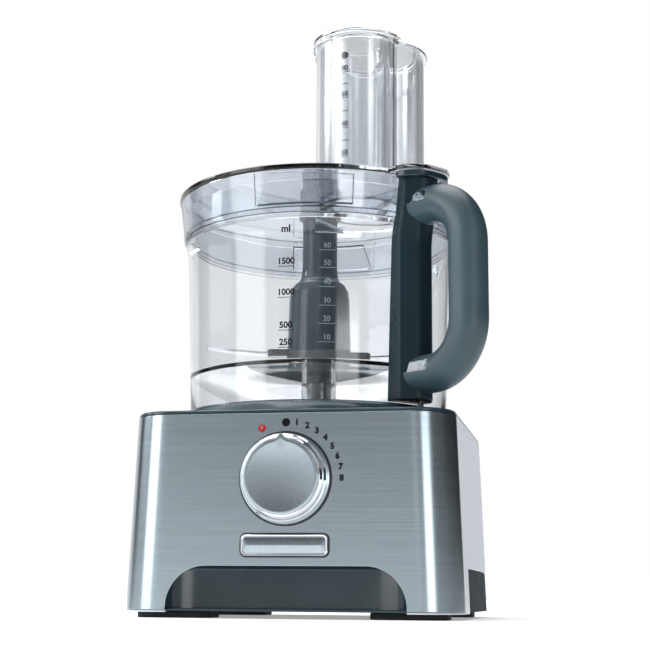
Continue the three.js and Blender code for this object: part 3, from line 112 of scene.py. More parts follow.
# ------------------------------------------------------------------ node materials
def add_node(tree, kind, inputs=None, **settings):
    """A node with its settings. An input takes a value or another node's output."""
    made = tree.nodes.new(kind)
    for key, value in settings.items():
        setattr(made, key, value)
    for key, value in (inputs or {}).items():
        if isinstance(value, bpy.types.NodeSocket):
            tree.links.new(value, made.inputs[key])
        else:
            made.inputs[key].default_value = value
    return made


class Paint:
    """A material's node tree, with short calls for what the materials below need."""

    def __init__(self, name, **values):
        self.material = bpy.data.materials.new(name)
        self.material.use_nodes = True
        self.tree = self.material.node_tree
        self.shader = self.tree.nodes["Principled BSDF"]
        self.place = self.node("ShaderNodeTexCoord").outputs["Object"]
        for key, value in values.items():
            name = key.replace("_", " ")
            for socket in self.shader.inputs:
                if socket.name.lower() == name:
                    socket.default_value = value

    def node(self, kind, inputs=None, **settings):
        return add_node(self.tree, kind, inputs, **settings)

    def feed(self, name, output):
        """Links an output to one of the shader's inputs."""
        self.tree.links.new(output, self.shader.inputs[name])

    def noise(self, scale, detail=3.0, stretch=(1, 1, 1), rough=0.55):
        stretched = self.node("ShaderNodeMapping", {"Scale": stretch, "Vector": self.place})
        return self.node("ShaderNodeTexNoise", {
            "Scale": scale, "Detail": detail, "Roughness": rough, "Vector": stretched.outputs["Vector"],
        }).outputs["Fac"]

    def bands(self, scale, direction, distortion):
        return self.node("ShaderNodeTexWave", {
            "Scale": scale, "Distortion": distortion, "Vector": self.place,
        }, wave_type="BANDS", bands_direction=direction).outputs["Fac"]

    def ramp(self, fac, low, high, start=0.2, end=0.8):
        return self.node("ShaderNodeMapRange", {
            "From Min": start, "From Max": end, "To Min": low, "To Max": high, "Value": fac,
        }, interpolation_type="SMOOTHSTEP").outputs["Result"]

    def colours(self, fac, low, high, start=0.3, end=0.7):
        made = self.node("ShaderNodeValToRGB", {"Fac": fac})
        made.color_ramp.interpolation = "EASE"
        for element, place, colour in zip(made.color_ramp.elements, (start, end), (low, high)):
            element.position = place
            element.color = (*colour, 1)
        self.feed("Base Color", made.outputs["Color"])

    def rough(self, fac, low, high, start=0.2, end=0.8):
        self.feed("Roughness", self.ramp(fac, low, high, start, end))

    def bump(self, fac, depth, strength):
        self.feed("Normal", self.node("ShaderNodeBump", {
            "Strength": strength, "Distance": depth, "Height": fac}).outputs["Normal"])

    def edge_wear(self, amount):
        """Paler edges, where hands and cloths polish them."""
        edges = self.node("ShaderNodeNewGeometry").outputs["Pointiness"]
        below = self.shader.inputs["Base Color"].links[0].from_socket
        mix = self.node("ShaderNodeMix", {
            "A": below, "B": (0.12, 0.14, 0.15, 1), "Factor": self.ramp(edges, 0.0, amount, 0.52, 0.6),
        }, data_type="RGBA", blend_type="ADD")
        self.feed("Base Color", mix.outputs["Result"])


def linear(tone):
    """Linear colour from display values of 0 to 1."""
    return [c / 12.92 if c <= 0.04045 else ((c + 0.055) / 1.055) ** 2.4 for c in tone]


def tint(tone, share):
    return [c * share for c in tone]


def brushed(name, tone, stretch, roughness, anisotropy):
    """Steel with fine parallel scratches. stretch is small along the scratches."""
    paint, tone = Paint(name, metallic=1.0, anisotropic=anisotropy, anisotropic_rotation=0.25), linear(tone)
    fine = paint.noise(1.0, 4.0, stretch, 0.7)
    paint.colours(fine, tint(tone, 0.93), tint(tone, 1.06), 0.25, 0.75)
    paint.rough(fine, *roughness)
    paint.bump(fine, 0.00003, 0.12)
    around = paint.node("ShaderNodeTangent", direction_type="RADIAL", axis="Z")
    paint.feed("Tangent", around.outputs["Tangent"])
    return paint.material


def polished(name, tone, low, high):
    """Polished metal with faint smears."""
    paint, tone = Paint(name, metallic=1.0), linear(tone)
    smear = paint.noise(60.0, 5.0, (1, 1, 0.4))
    paint.colours(smear, [c * share for c, share in zip(tone, (0.94, 0.95, 0.96))], tone)
    paint.rough(smear, low, high)
    return paint.material


def moulded(name, tone, low, high, grain=0.00003, scale=1400.0, coat=0.0, wear=0.0, shine=0.5, cloudy=0.12):
    """Moulded plastic: a fine spark-eroded texture, slow cloudiness and worn edges."""
    paint, tone = Paint(name, coat_weight=coat, coat_roughness=0.12, specular_ior_level=shine), linear(tone)
    paint.colours(paint.noise(22.0, 4.0), tint(tone, 1 - cloudy), tint(tone, 1 + cloudy))
    paint.rough(paint.noise(45.0, 3.0), low, high)
    paint.bump(paint.noise(scale, 2.0), grain, 0.5)
    if wear:
        paint.edge_wear(wear)
    return paint.material


def clear(name, tone, low=0.0, high=0.05):
    """Clear moulding with faint flow marks and hairline scratches. Its tone is linear already."""
    paint = Paint(name, transmission_weight=1.0, ior=1.46)
    flow = paint.noise(14.0, 3.0, (1, 1, 0.35))
    paint.colours(flow, tint(tone, 0.985), tone)
    paint.rough(paint.noise(120.0, 5.0, (1, 1, 4)), low, high, 0.5, 0.8)
    paint.bump(flow, 0.0006, 0.08)
    return paint.material


def printed(name, tone):
    """Screen-printed ink, a little uneven."""
    paint, tone = Paint(name, specular_ior_level=0.15), linear(tone)
    patch = paint.noise(900.0, 3.0)
    paint.colours(patch, tint(tone, 0.8), tint(tone, 1.1))
    paint.rough(patch, 0.4, 0.6)
    return paint.material


def layered(name, tone, scale, direction, metallic, depth, low, high):
    """Stacked sheets or wound wire: fine parallel ridges."""
    paint, tone = Paint(name, metallic=metallic), linear(tone)
    ridges = paint.bands(scale, direction, 0.3)
    paint.colours(ridges, tint(tone, 0.45), tone, 0.1, 0.8)
    paint.rough(paint.noise(80.0), low, high)
    paint.bump(ridges, depth, 0.8)
    return paint.material


panel_steel = brushed("panel_steel", (0.645, 0.695, 0.72), (14, 14, 2600), (0.19, 0.24), 0.6)
face_steel = brushed("face_steel", (0.68, 0.725, 0.75), (900, 900, 900), (0.2, 0.25), 0.0)
blade_steel = brushed("blade_steel", (0.80, 0.81, 0.82), (900, 40, 900), (0.12, 0.24), 0.3)
chrome = polished("chrome_plate", (0.90, 0.91, 0.92), 0.02, 0.07)
bright_steel = polished("bright_steel", (0.80, 0.81, 0.82), 0.1, 0.22)
silver = moulded("silver_paint", (0.81, 0.84, 0.875), 0.32, 0.38, 0.00001, 3000.0, coat=0.25, cloudy=0.025)
dark = moulded("dark_moulding", (0.15, 0.225, 0.255), 0.12, 0.2, 0.000004, 900.0, wear=0.1)
dark_satin = moulded("dark_satin_moulding", (0.185, 0.26, 0.29), 0.36, 0.46, 0.00003, 1500.0, wear=0.1)
dark_gloss = moulded("dark_gloss_moulding", (0.10, 0.16, 0.19), 0.1, 0.2, 0.000002, 600.0)
# painted shade: a darker copy of the grip's moulding for the column of the same handle, standing in for the
# shade that falls on it
column_painted_shade = moulded("column_painted_shade_moulding", (0.09, 0.155, 0.18), 0.25, 0.33, 0.000002, 600.0,
                      shine=0.15, cloudy=0.04)
flat_gloss = moulded("flat_gloss_moulding", (0.10, 0.16, 0.19), 0.03, 0.07, 0.0000005, 300.0)
dark_matt = moulded("dark_matt_moulding", (0.10, 0.16, 0.19), 0.5, 0.62, 0.00003, 1300.0, shine=0.05)
black = moulded("black_moulding", (0.08, 0.085, 0.09), 0.3, 0.45)
rubber = moulded("black_rubber", (0.06, 0.062, 0.065), 0.6, 0.8, 0.00008, 900.0)
bowl_clear = clear("bowl_clear", (0.915, 0.93, 0.945))
lid_clear = clear("lid_clear", (0.71, 0.74, 0.78))
tube_clear = clear("tube_clear", (0.91, 0.925, 0.945))
pusher_clear = clear("pusher_clear", (0.975, 0.98, 0.985))
# painted shade: a darker, frosted clear for the bowl's lugs, standing in for the dark look of their thick
# clear ramps
lug_painted_shade_clear = clear("lug_painted_shade_clear", (0.42, 0.47, 0.52), 0.2, 0.3)
# painted shade: a dark clear that stands in for the dark look of the lid's thick clear ledges and patch
# slopes
painted_shade_clear = clear("painted_shade_clear", (0.07, 0.10, 0.13))
ink_black = printed("ink_black", (0.03, 0.035, 0.04))
ink_pale = printed("ink_pale", (0.50, 0.55, 0.58))
ink_grey = printed("ink_grey", (0.05, 0.06, 0.075))
ink_red = printed("ink_red", (0.68, 0.10, 0.09))
belt_rubber = layered("belt_rubber", (0.10, 0.10, 0.10), 140.0, "Z", 0.0, 0.0003, 0.6, 0.8)
cast = layered("cast_alloy", (0.60, 0.61, 0.62), 3.0, "DIAGONAL", 1.0, 0.00005, 0.4, 0.55)
winding = layered("copper_winding", (0.72, 0.42, 0.22), 420.0, "Z", 1.0, 0.0003, 0.25, 0.4)
sheet_iron = layered("stacked_iron", (0.42, 0.43, 0.44), 320.0, "Z", 1.0, 0.0002, 0.4, 0.6)
board = layered("circuit_board", (0.13, 0.36, 0.24), 60.0, "X", 0.0, 0.00005, 0.35, 0.5)

# What stays as it comes from CAD only gets its material.
for names, material in (
    ("spindle_bracket motor_bracket_lower motor_bracket_upper motor_pulley triac_heat_sink", cast),
    ("field_coil_left field_coil_right commutator", winding),
    ("stator_core armature", sheet_iron),
    ("control_board", board),
    ("drive_belt", belt_rubber),
    ("speed_switch interlock_switch switch_plunger filter_capacitor spindle_pulley cooling_fan "
     "brush_holder_left brush_holder_right interlock_rod", black),
    ("drive_spindle motor_shaft motor_bearing_lower motor_bearing_upper spindle_bearing_lower "
     "spindle_bearing_upper rod_spring case_screw_front_left case_screw_front_right "
     "case_screw_rear_left case_screw_rear_right", bright_steel),
):
    for name in names.split():
        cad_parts[name].data.materials.clear()
        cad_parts[name].data.materials.append(material)


# ------------------------------------------------------------------ outlines
def circle(r, sides):
    return [(r * cos(2 * pi * k / sides), r * sin(2 * pi * k / sides)) for k in range(sides)]


def quarter(steps):
    """Angles from 0 to a right angle."""
    return [radians(90 * k / steps) for k in range(steps + 1)]


def arc(cx, cy, r, start, end, steps):
    turns = [radians(start + (end - start) * k / steps) for k in range(steps + 1)]
    return [(cx + r * cos(t), cy + r * sin(t)) for t in turns]


def curve(t, start, middle, end):
    """A place on a quadratic curve, for numbers or vectors."""
    return (1 - t) ** 2 * start + 2 * t * (1 - t) * middle + t * t * end


def mirrored(points):
    """The mirror image in x, in reverse order."""
    return [(-x, *rest) for x, *rest in reversed(points)]


def rounded_box(x0, x1, y0, y1, radii, steps=8):
    """A counter-clockwise outline, radii from the low-x low-y corner onwards."""
    a, b, c, d = radii if isinstance(radii, (list, tuple)) else [radii] * 4
    return (arc(x0 + a, y0 + a, a, 180, 270, steps) + arc(x1 - b, y0 + b, b, 270, 360, steps)
            + arc(x1 - c, y1 - c, c, 0, 90, steps) + arc(x0 + d, y1 - d, d, 90, 180, steps))


def inset(outline, distance):
    """The outline moved inwards by a small distance, point by point."""
    out = []
    count = len(outline)
    for i, (x, y) in enumerate(outline):
        (ax, ay), (bx, by) = outline[i - 1], outline[(i + 1) % count]
        first, second = Vector((x - ax, y - ay)), Vector((bx - x, by - y))
        if first.length < 1e-6:
            first = second.copy()
        if second.length < 1e-6:
            second = first.copy()
        first.normalize()
        second.normalize()
        normal = Vector((-(first.y + second.y), first.x + second.x))
        normal.normalize()
        stretch = max(0.5, normal.dot(Vector((-first.y, first.x))))
        out.append((x + normal.x * distance / stretch, y + normal.y * distance / stretch))
    return out


def layer(outline, z, margin=0):
    """The outline at a height, moved inwards where a margin is given."""
    return [(x, y, z) for x, y in (inset(outline, margin) if margin else outline)]


def fillet(points, radius, steps=4, closed=False):
    """A polyline with its corners rounded. radius is one value or one for each point."""
    radii = radius if isinstance(radius, (list, tuple)) else [radius] * len(points)
    points = [Vector(p) for p in points]
    out = []
    last = len(points) - 1
    for i, here in enumerate(points):
        before, after = points[i - 1] - here, points[(i + 1) % len(points)] - here
        if (not closed and i in (0, last) or radii[i] <= 0 or min(before.length, after.length) < 1e-6
                or before.angle(after) > radians(172)):
            out.append(tuple(here))
            continue
        reach = min(radii[i] / tan(before.angle(after) / 2), 0.45 * before.length, 0.45 * after.length)
        start, end = here + before.normalized() * reach, here + after.normalized() * reach
        out += [tuple(curve(k / steps, start, here, end)) for k in range(steps + 1)]
    return out


# ------------------------------------------------------------------ solids, as points and faces
def lathe(profile, sides=144):
    """A profile of (radius, height) turned about Z. It closes on itself unless it starts on the axis."""
    closed = profile[0][0] > 1e-6
    rings, verts, faces = [], [], []
    for r, z in profile:
        ring = [(0, 0, z)] if r < 1e-6 else layer(circle(r, sides), z)
        rings.append(list(range(len(verts), len(verts) + len(ring))))
        verts += ring
    for a, b in zip(rings, rings[1:] + rings[:1] if closed else rings[1:]):
        for k in range(sides):
            n = (k + 1) % sides
            if len(a) == 1 and len(b) > 1:
                faces.append((a[0], b[n], b[k]))
            elif len(b) == 1 and len(a) > 1:
                faces.append((a[k], a[n], b[0]))
            elif len(a) > 1:
                faces.append((a[k], a[n], b[n], b[k]))
    return verts, faces


def loft(rings, caps=True, around=True):
    """Joins rings of the same number of points, and closes the ends."""
    count = len(rings[0])
    verts = [p for ring in rings for p in ring]
    faces = []
    for i in range(len(rings) - 1):
        for k in range(count if around else count - 1):
            n = (k + 1) % count
            faces.append((i * count + k, i * count + n, (i + 1) * count + n, (i + 1) * count + k))
    if caps:
        faces.append(tuple(reversed(range(count))))
        faces.append(tuple(range((len(rings) - 1) * count, len(rings) * count)))
    return verts, faces


def grid(columns):
    """Quads over columns of points, open where a point is None."""
    verts, index, faces = [], {}, []
    for c, column in enumerate(columns):
        for r, point in enumerate(column):
            if point:
                index[c, r] = len(verts)
                verts.append(point)
    for c in range(len(columns) - 1):
        for r in range(len(columns[0]) - 1):
            corners = [(c, r), (c + 1, r), (c + 1, r + 1), (c, r + 1)]
            if all(k in index for k in corners):
                faces.append(tuple(index[k] for k in corners))
    return verts, faces


def merge(*parts):
    verts, faces = [], []
    for v, f in parts:
        faces += [tuple(i + len(verts) for i in face) for face in f]
        verts += list(v)
    return verts, faces


def moved(part, matrix):
    return [tuple(matrix @ Vector(v)) for v in part[0]], part[1]


def shifted(part, x, y, z=0):
    return moved(part, Matrix.Translation((x, y, z)))


def turned(angle):
    return Matrix.Rotation(radians(angle), 4, "Z")


def slab(outline, z0, z1, edge=0.5, steps=3):
    """A flat piece with rounded rims."""
    rings = [layer(inset(outline, edge * (1 - sin(a))), z0 + edge * (1 - cos(a))) for a in quarter(steps)]
    rings += [layer(inset(outline, edge * (1 - cos(a))), z1 - edge * (1 - sin(a))) for a in quarter(steps)]
    return loft(rings)


def rod(r, z0, z1, sides=40, at=(0, 0)):
    return shifted(loft([layer(circle(r, sides), z) for z in (z0, z1)]), *at)


# ------------------------------------------------------------------ pieces
def tidy(mesh):
    """Joins points in the same place, drops faces without area and turns normals outwards."""
    work = bmesh.new()
    work.from_mesh(mesh)
    bmesh.ops.remove_doubles(work, verts=work.verts, dist=1e-6)
    bmesh.ops.dissolve_degenerate(work, edges=work.edges, dist=1e-7)
    if all(len(edge.link_faces) == 2 for edge in work.edges):
        bmesh.ops.recalc_face_normals(work, faces=work.faces)
    work.to_mesh(mesh)
    work.free()


def sharpen(piece, angle, even=True):
    """Marks the sharp edges, and evens the shading of the faces between them."""
    piece.data.set_sharp_from_angle(angle=radians(angle))
    if even:
        piece.modifiers.new("even_normals", "WEIGHTED_NORMAL").keep_sharp = True


def make(name, part, body, material, place=None, sharp=38, shadow=True, even=False, replaces=None):
    """A piece from points in millimetres. place is its own frame within the machine's."""
    mesh = bpy.data.meshes.new(name)
    mesh.from_pydata([tuple(v) for v in part[0]], [], part[1])
    mesh.transform(TO_ROW @ (place or Matrix.Identity(4)))
    mesh.validate()
    tidy(mesh)
    mesh.materials.append(material)
    piece = bpy.data.objects.new(name, mesh)
    bpy.context.scene.collection.objects.link(piece)
    mesh.shade_smooth()
    sharpen(piece, sharp, even)
    piece.visible_shadow = shadow
    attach(piece, body)
    if replaces:
        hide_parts(replaces)
    return piece


def make_clear(name, part, body, material, **settings):
    """A clear piece. It casts no shadow, as light passes through it."""
    return make(name, part, body, material, shadow=False, **settings)


def thicken(piece, depth):
    solidify = piece.modifiers.new("wall", "SOLIDIFY")
    solidify.thickness = depth * MM
    solidify.offset = -1.0
    solidify.use_even_offset = True


def soften(piece, width, segments, angle, harden=True):
    """Rounds the piece's edges."""
    bevel = piece.modifiers.new("soft_edges", "BEVEL")
    bevel.width = width * MM
    bevel.segments = segments
    bevel.limit_method = "ANGLE"
    bevel.angle_limit = radians(angle)
    bevel.harden_normals = harden


def settle(piece):
    """Turns the piece's modifiers into its own mesh."""
    bpy.context.view_layer.update()
    graph = bpy.context.evaluated_depsgraph_get()
    mesh = bpy.data.meshes.new_from_object(piece.evaluated_get(graph))
    piece.modifiers.clear()
    piece.data = mesh


def combine(piece, part, operation="UNION", paint=None):
    """Joins a closed shape to a piece or cuts it out, and paints what it leaves."""
    mesh = bpy.data.meshes.new("tool")
    mesh.from_pydata([tuple(v) for v in part[0]], [], part[1])
    mesh.transform(TO_ROW)
    tidy(mesh)
    tool = bpy.data.objects.new("tool", mesh)
    bpy.context.scene.collection.objects.link(tool)
    work = piece.modifiers.new("combine", "BOOLEAN")
    if paint:
        mesh.materials.append(paint)
        work.material_mode = "TRANSFER"
    work.operation = operation
    work.solver = "EXACT"
    work.object = tool
    settle(piece)
    bpy.data.objects.remove(tool)


def cut(piece, part, paint=None):
    combine(piece, part, "DIFFERENCE", paint)


FRONT_FACE = Matrix.Translation((0, -BASE_FRONT, 0)) @ Matrix.Rotation(radians(90), 4, "X")
DIAL_FACE = Matrix.Translation((0, 0, DIAL_Z)) @ FRONT_FACE
BADGE_FACE = Matrix.Translation((0, 0, BADGE_Z)) @ FRONT_FACE
BACK_FACE = Matrix.Translation((GLAND_X, BASE_BACK, GLAND_Z)) @ Matrix.Rotation(radians(-90), 4, "X")
HANDLE = turned(HANDLE_TURN)


# ------------------------------------------------------------------ casing
def share_up(z):
    """How far up the casing a height is, from 0 to 1."""
    return (z - CASE_LOW) / (CASE_TOP - CASE_LOW)


def narrowed(z):
    """The casing's width at a height, as a share of its width below."""
    return 1 - share_up(z) * NARROWING / BASE_HALF


def leaning(columns):
    """A wall whose sides lean in as they rise. A column is (x, y, heights), and None leaves a hole."""
    return grid([[None if z is None else (x * narrowed(z), y, z) for z in heights]
                 for x, y, heights in columns])


def steel_front():
    """Brushed sheet, bent round both front corners, with the arch cut out below."""
    levels = 14
    foot = ARCH_TOP - ARCH_R

    def climb(start):
        return [start + (CASE_TOP - start) * k / levels for k in range(levels + 1)]

    corner = arc(FRONT_R - BASE_HALF, SEAM_Y, FRONT_R, 180, 270, 28) + [(-ARCH_HALF, -BASE_FRONT)]
    half_arch = [(ARCH_R - ARCH_HALF - ARCH_R * cos(a), foot + ARCH_R * sin(a)) for a in quarter(16)[1:]]
    half_arch += [((ARCH_HALF - ARCH_R) * (k / 8 - 1), ARCH_TOP) for k in range(1, 9)]
    columns = [(x, y, [PANEL_LOW] + climb(foot)) for x, y in corner]
    columns += [(x, -BASE_FRONT, [None] + climb(z)) for x, z in half_arch]
    piece = make("steel_front", leaning(columns + mirrored(columns[:-1])), "base", panel_steel)
    thicken(piece, STEEL)
    soften(piece, 0.45, 3, 50)
    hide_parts("front_panel")


def casing_shell():
    """Painted sides and back, with the air grille and the cord's hole."""
    middles = [(i - (GRILLE_SLOTS - 1) / 2) * GRILLE_PITCH for i in range(GRILLE_SLOTS)]
    side_ys = [SEAM_Y + GAP, -60, BAND_Y, -20, 10, 40, 65, BASE_BACK - REAR_R]
    right = [(BASE_HALF, y) for y in side_ys]
    right += arc(BASE_HALF - REAR_R, BASE_BACK - REAR_R, REAR_R, 0, 90, 20)[1:]
    back_xs = [70, 60, 50, 40] + [m + side for m in middles[::-1] for side in (GRILLE_HALF, -GRILLE_HALF)]
    back_xs += [-40, -50, -60, -70]
    levels = [CASE_LOW, 12, ARCH_TOP, 40, GRILLE_LOW, 60, 70, 80, GRILLE_TOP, 100, 112, CASE_TOP]
    columns = [(x, y, [None if y > BAND_Y and z < ARCH_TOP else z for z in levels])
               for x, y in right + [(x, BASE_BACK) for x in back_xs] + mirrored(right)]
    verts, faces = leaning(columns)

    def in_grille(face):
        xs, ys, zs = zip(*(verts[i] for i in face))
        middle = sum(xs) / 4 / narrowed(sum(zs) / 4)
        return (min(ys) > BASE_BACK - 0.01 and min(zs) > GRILLE_LOW - 0.1 and max(zs) < GRILLE_TOP + 0.1
                and any(abs(middle - m) < GRILLE_HALF for m in middles))

    piece = make("casing_shell", (verts, [f for f in faces if not in_grille(f)]), "base", silver)
    thicken(piece, CASE_WALL)
    soften(piece, 0.35, 2, 50)
    cut(piece, moved(rod(6.8, -8, 4), BACK_FACE))
    sharpen(piece, 38)
    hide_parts("side_housing")


def casing_lip():
    """The painted rim that shows below the steel, up to the arch on each side."""
    depth, centre_x = 4, BASE_HALF - FRONT_R
    run = arc(-centre_x, SEAM_Y, FRONT_R, 180, 270, 24)[1:] + [(-ARCH_HALF, -BASE_FRONT)]
    inner = []
    for x, y in run:
        out = Vector((x + centre_x, y - SEAM_Y) if x < -centre_x else (0, -1)).normalized()
        inner.append((x - depth * out.x, y - depth * out.y))
    for side, outline in (("left", run + inner[::-1]), ("right", mirrored(run) + mirrored(inner[::-1]))):
        make(f"casing_lip_{side}", slab(outline, CASE_LOW, PANEL_LOW - 0.25, 0.25), "base", silver, even=True)


def underbody():
    """The dark band round the back, the recess behind the arch and the floor."""
    taper = 1.2
    low_z, top_z = FOOT_TOP + GAP, ARCH_TOP - GAP
    right = [(BASE_HALF - GAP, y) for y in (BAND_Y + GAP, -20, 10, 40, 65)]
    right += arc(BASE_HALF - REAR_R, BASE_BACK - REAR_R, REAR_R - GAP, 0, 90, 20)
    back = [(x, BASE_BACK - GAP) for x in (60, 30, 0, -30, -60)]
    rises = [(low_z + (top_z - low_z) * k / 6, 1 - taper * k / 6 / BASE_HALF) for k in range(7)]
    band = make("underbody_band", grid([[(x * share, y * share, z) for z, share in rises]
                                        for x, y in right + back + mirrored(right)]), "base", dark_matt)
    thicken(band, CASE_WALL)
    soften(band, 0.8, 4, 50)
    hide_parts("underbody")

    skin, fold, depth = 1.6, 2.5, 22

    def recess(front, grow):
        """The recess's outline: straight in front, with long rounded corners behind."""
        corner_x, corner_y = 38.5, 16.5
        a, b, y = 36 + grow, corner_y + grow, depth - BASE_FRONT - corner_y
        corner = [(corner_x + a * cos(t), y + b * sin(t)) for t in quarter(18)]
        return [(-corner_x - a, front), (corner_x + a, front)] + corner + mirrored(corner)

    wall = make("recess_wall", slab(recess(4.4 - BASE_FRONT, skin), 5.9, ARCH_TOP + 1.3, 0.3), "base", dark)
    hollow = recess(-8 - BASE_FRONT, 0)
    cut(wall, loft([layer(hollow, 3.0)] + [layer(hollow, ARCH_TOP - fold + fold * sin(a), fold * (1 - cos(a)))
                                           for a in quarter(6)]))
    sharpen(wall, 38)

    edge = 4.6
    outline = rounded_box(edge - BASE_HALF, BASE_HALF - edge, edge - BASE_FRONT, BASE_BACK - edge,
                          [FRONT_R - edge] * 2 + [REAR_R - edge] * 2, 14)
    tray = make("underbody_tray", slab(outline, low_z, TRAY_TOP), "base", dark)
    slots = [slab(rounded_box(x - 2, x + 2, MOTOR_Y - 4, MOTOR_Y + 22, 1.9, 5), 0, 9, 0.01, 1)
             for x in range(-18, 19, 9)]
    screws = [rod(4.1, 0, 5.9, 32, (x, y)) for x in (-88, 88) for y in (-34, 48)]
    cut(tray, merge(*slots, *screws))
    sharpen(tray, 38)


def feet():
    for end, reach, y in (("front", 72.5, -73), ("rear", 73.5, 75)):
        for side, x in (("left", -reach), ("right", reach)):
            pad = rounded_box(x - 23.5, x + 23.5, y - 15, y + 15, 7, 8)
            sole = slab(inset(pad, 3.2), 0.0, 0.9, 0.4, 3)
            name = f"foot_{end}_{side}"
            make(name + "_pad", merge(slab(pad, 0, FOOT_TOP + 0.2, 0.9, 4), sole), "base", rubber,
                 even=True, replaces=name)


steel_front()
casing_shell()
casing_lip()
underbody()
feet()


# ------------------------------------------------------------------ deck
def deck_reach(angle, margin):
    """Distance from the bowl's axis to the deck's outline, in one direction."""
    half = BASE_HALF - NARROWING - margin
    squeeze = (BASE_HALF - NARROWING) / BASE_HALF

    def outside(t):
        x, y = abs(cos(angle) * t), sin(angle) * t
        r, wall = (FRONT_R, BASE_FRONT) if y < 0 else (REAR_R, BASE_BACK)
        r -= margin
        dx, dy = (x - (half - r * squeeze)) / squeeze, abs(y) - (wall - margin - r)
        if dx <= 0 and dy <= r or dy <= 0 and dx <= r:
            return False
        return hypot(max(dx, 0), max(dy, 0)) > r

    near, far = 50.0, 200.0
    for _ in range(36):
        mid = (near + far) / 2
        near, far = (near, mid) if outside(mid) else (mid, far)
    return near


def deck():
    """One closed skin: the drive boss, the well, the collar's dome, the rim and the underside."""
    sides = 240
    boss_top, boss_r, bore_r, pocket_r = WELL_FLOOR + 8.7, 13.0, 6.0, 8.9
    pocket, under = boss_top - 7, WELL_FLOOR - 2.5
    dome_r = WELL_R + 9
    round_rings = fillet([
        (bore_r, under), (bore_r, pocket), (pocket_r, pocket), (pocket_r, boss_top),
        (boss_r, boss_top), (boss_r, WELL_FLOOR), (WELL_R, WELL_FLOOR), (WELL_R + 0.3, COLLAR_TOP - 0.3),
        (WELL_R + 2.6, COLLAR_TOP), (dome_r - 2.5, DECK_TOP + 0.72 * COLLAR_RISE),
        (dome_r, DECK_TOP + 0.3 * COLLAR_RISE), (dome_r + 1.4, DECK_TOP),
    ], [0, 0.4, 0.4, 0.8, 0.8, 0.8, 1.2, 0.9, 5, 6, 2.5, 0], 5)
    edge_r, hem, hem_z = 1.6, 4.3, CASE_TOP - 5.8
    rim = [(edge_r + GAP + 1.2, DECK_TOP), (edge_r + GAP + 0.6, DECK_TOP)]
    rim += [(GAP + edge_r * (1 - sin(a)), DECK_TOP - edge_r * (1 - cos(a))) for a in quarter(6)]
    rim += [(GAP, CASE_TOP + 0.35), (hem, CASE_TOP + 0.35), (hem, hem_z), (hem + 2.5, hem_z)]
    turns = [2 * pi * k / sides for k in range(sides)]
    rings = [layer(circle(r, sides), z) for r, z in round_rings]
    for margin, z in rim:
        reaches = [deck_reach(a, margin) for a in turns]
        rings.append([(d * cos(a), d * sin(a), z) for a, d in zip(turns, reaches)])
    rings += [layer(circle(r, sides), under) for r in (83.6, 30.0)]
    verts, faces = loft(rings, caps=False)
    last = len(verts) - sides
    faces += [(last + k, last + (k + 1) % sides, (k + 1) % sides, k) for k in range(sides)]
    make("deck_cover", (verts, faces), "base", dark, sharp=45, even=True, replaces="top_deck")


deck()


# ------------------------------------------------------------------ dial, badge and cord bush
def dial():
    make("dial_ring", lathe(fillet([(23.6, 0.3), (28.6, 0.3), (28.6, 1.3), (23.6, 1.3)], 0.3, 3, True)),
         "base", black, DIAL_FACE, replaces="dial_bezel")
    make("dial_knob", lathe(fillet([
        (0, 1.7), (27.1, 1.7), (27.6, 2.7), (26.4, 7.3), (25.4, 8.3), (24.9, 11.4), (23.6, 13.0), (0, 13.0),
    ], [0, 0.3, 0.5, 0.5, 0.4, 0.6, 0.5, 0], 5), 192), "dial", chrome, DIAL_FACE, replaces="speed_knob")

    face_r, point_half, point_r = 22.7, 3.4, 25.9
    shoulder = degrees(acos(point_half / face_r))
    outline = arc(0, 0, face_r, 180 - shoulder, 360 + shoulder, 120)
    outline += [(0.5, point_r - 0.3), (0, point_r), (-0.5, point_r - 0.3)]
    rings = [layer(outline, z, margin) for margin, z in ((0, 13.1), (0, 14.35), (0.12, 14.57), (0.4, 14.7))]
    top = inset(outline, 0.4)
    for k in range(1, 13):
        # the point fades into a plain circle within the first three rings of the dished face
        share, point = 1 - k / 12, max(0.0, 1 - k / 3)
        sizes = [share * (point + (1 - point) * (face_r - 0.4) / hypot(x, y)) for x, y in top]
        rings.append([(x * size, y * size, 13.5 + 1.2 * share ** 2) for (x, y), size in zip(top, sizes)])
    make("dial_face", loft(rings), "dial", face_steel, DIAL_FACE, sharp=50, replaces="knob_face")


def badge():
    """A chrome frame round a bare, slightly crowned plate."""
    outer = rounded_box(-26.7, 26.7, -6.45, 6.45, 3.2, 8)
    section = ((0, 0.3), (0, 1.3), (0.15, 1.75), (0.45, 2.0), (0.95, 2.0), (1.25, 1.8), (1.4, 1.5),
               (1.45, 0.95))
    make("badge_surround", loft([layer(outer, z, margin) for margin, z in section]), "base", chrome,
         BADGE_FACE, even=True, replaces="badge_frame")
    face = inset(outer, 1.9)
    rings = [layer(face, 0.9)]
    for margin in (0, 0.15, 0.4, 0.9, 1.6, 2.6, 4.4):
        rings.append([(x, y, 2.0 - 0.035 * abs(y) ** 1.8) for x, y in inset(face, margin)])
    make("badge_blank", loft(rings), "base", face_steel, BADGE_FACE, replaces="badge_plate")
    # painted shade: a thin black ring round the frame, for the dark gap round the badge
    groove = [layer(outer, z, margin) for margin, z in ((-0.9, 0.02), (-0.9, 0.32), (0.3, 0.32), (0.3, 0.02))]
    make("badge_gap_shade", loft(groove + groove[:1], caps=False), "base", black, BADGE_FACE)


def cord_bush():
    make("cord_bush", lathe(fillet([
        (3.6, -6), (6.4, -6), (6.4, 0.3), (9.0, 0.3), (9.0, 1.4), (7.6, 2.2), (4.4, 2.2), (3.6, 1.4),
    ], 0.4, 3, True), 96), "base", rubber, BACK_FACE, replaces="cord_gland")


dial()
badge()
cord_bush()


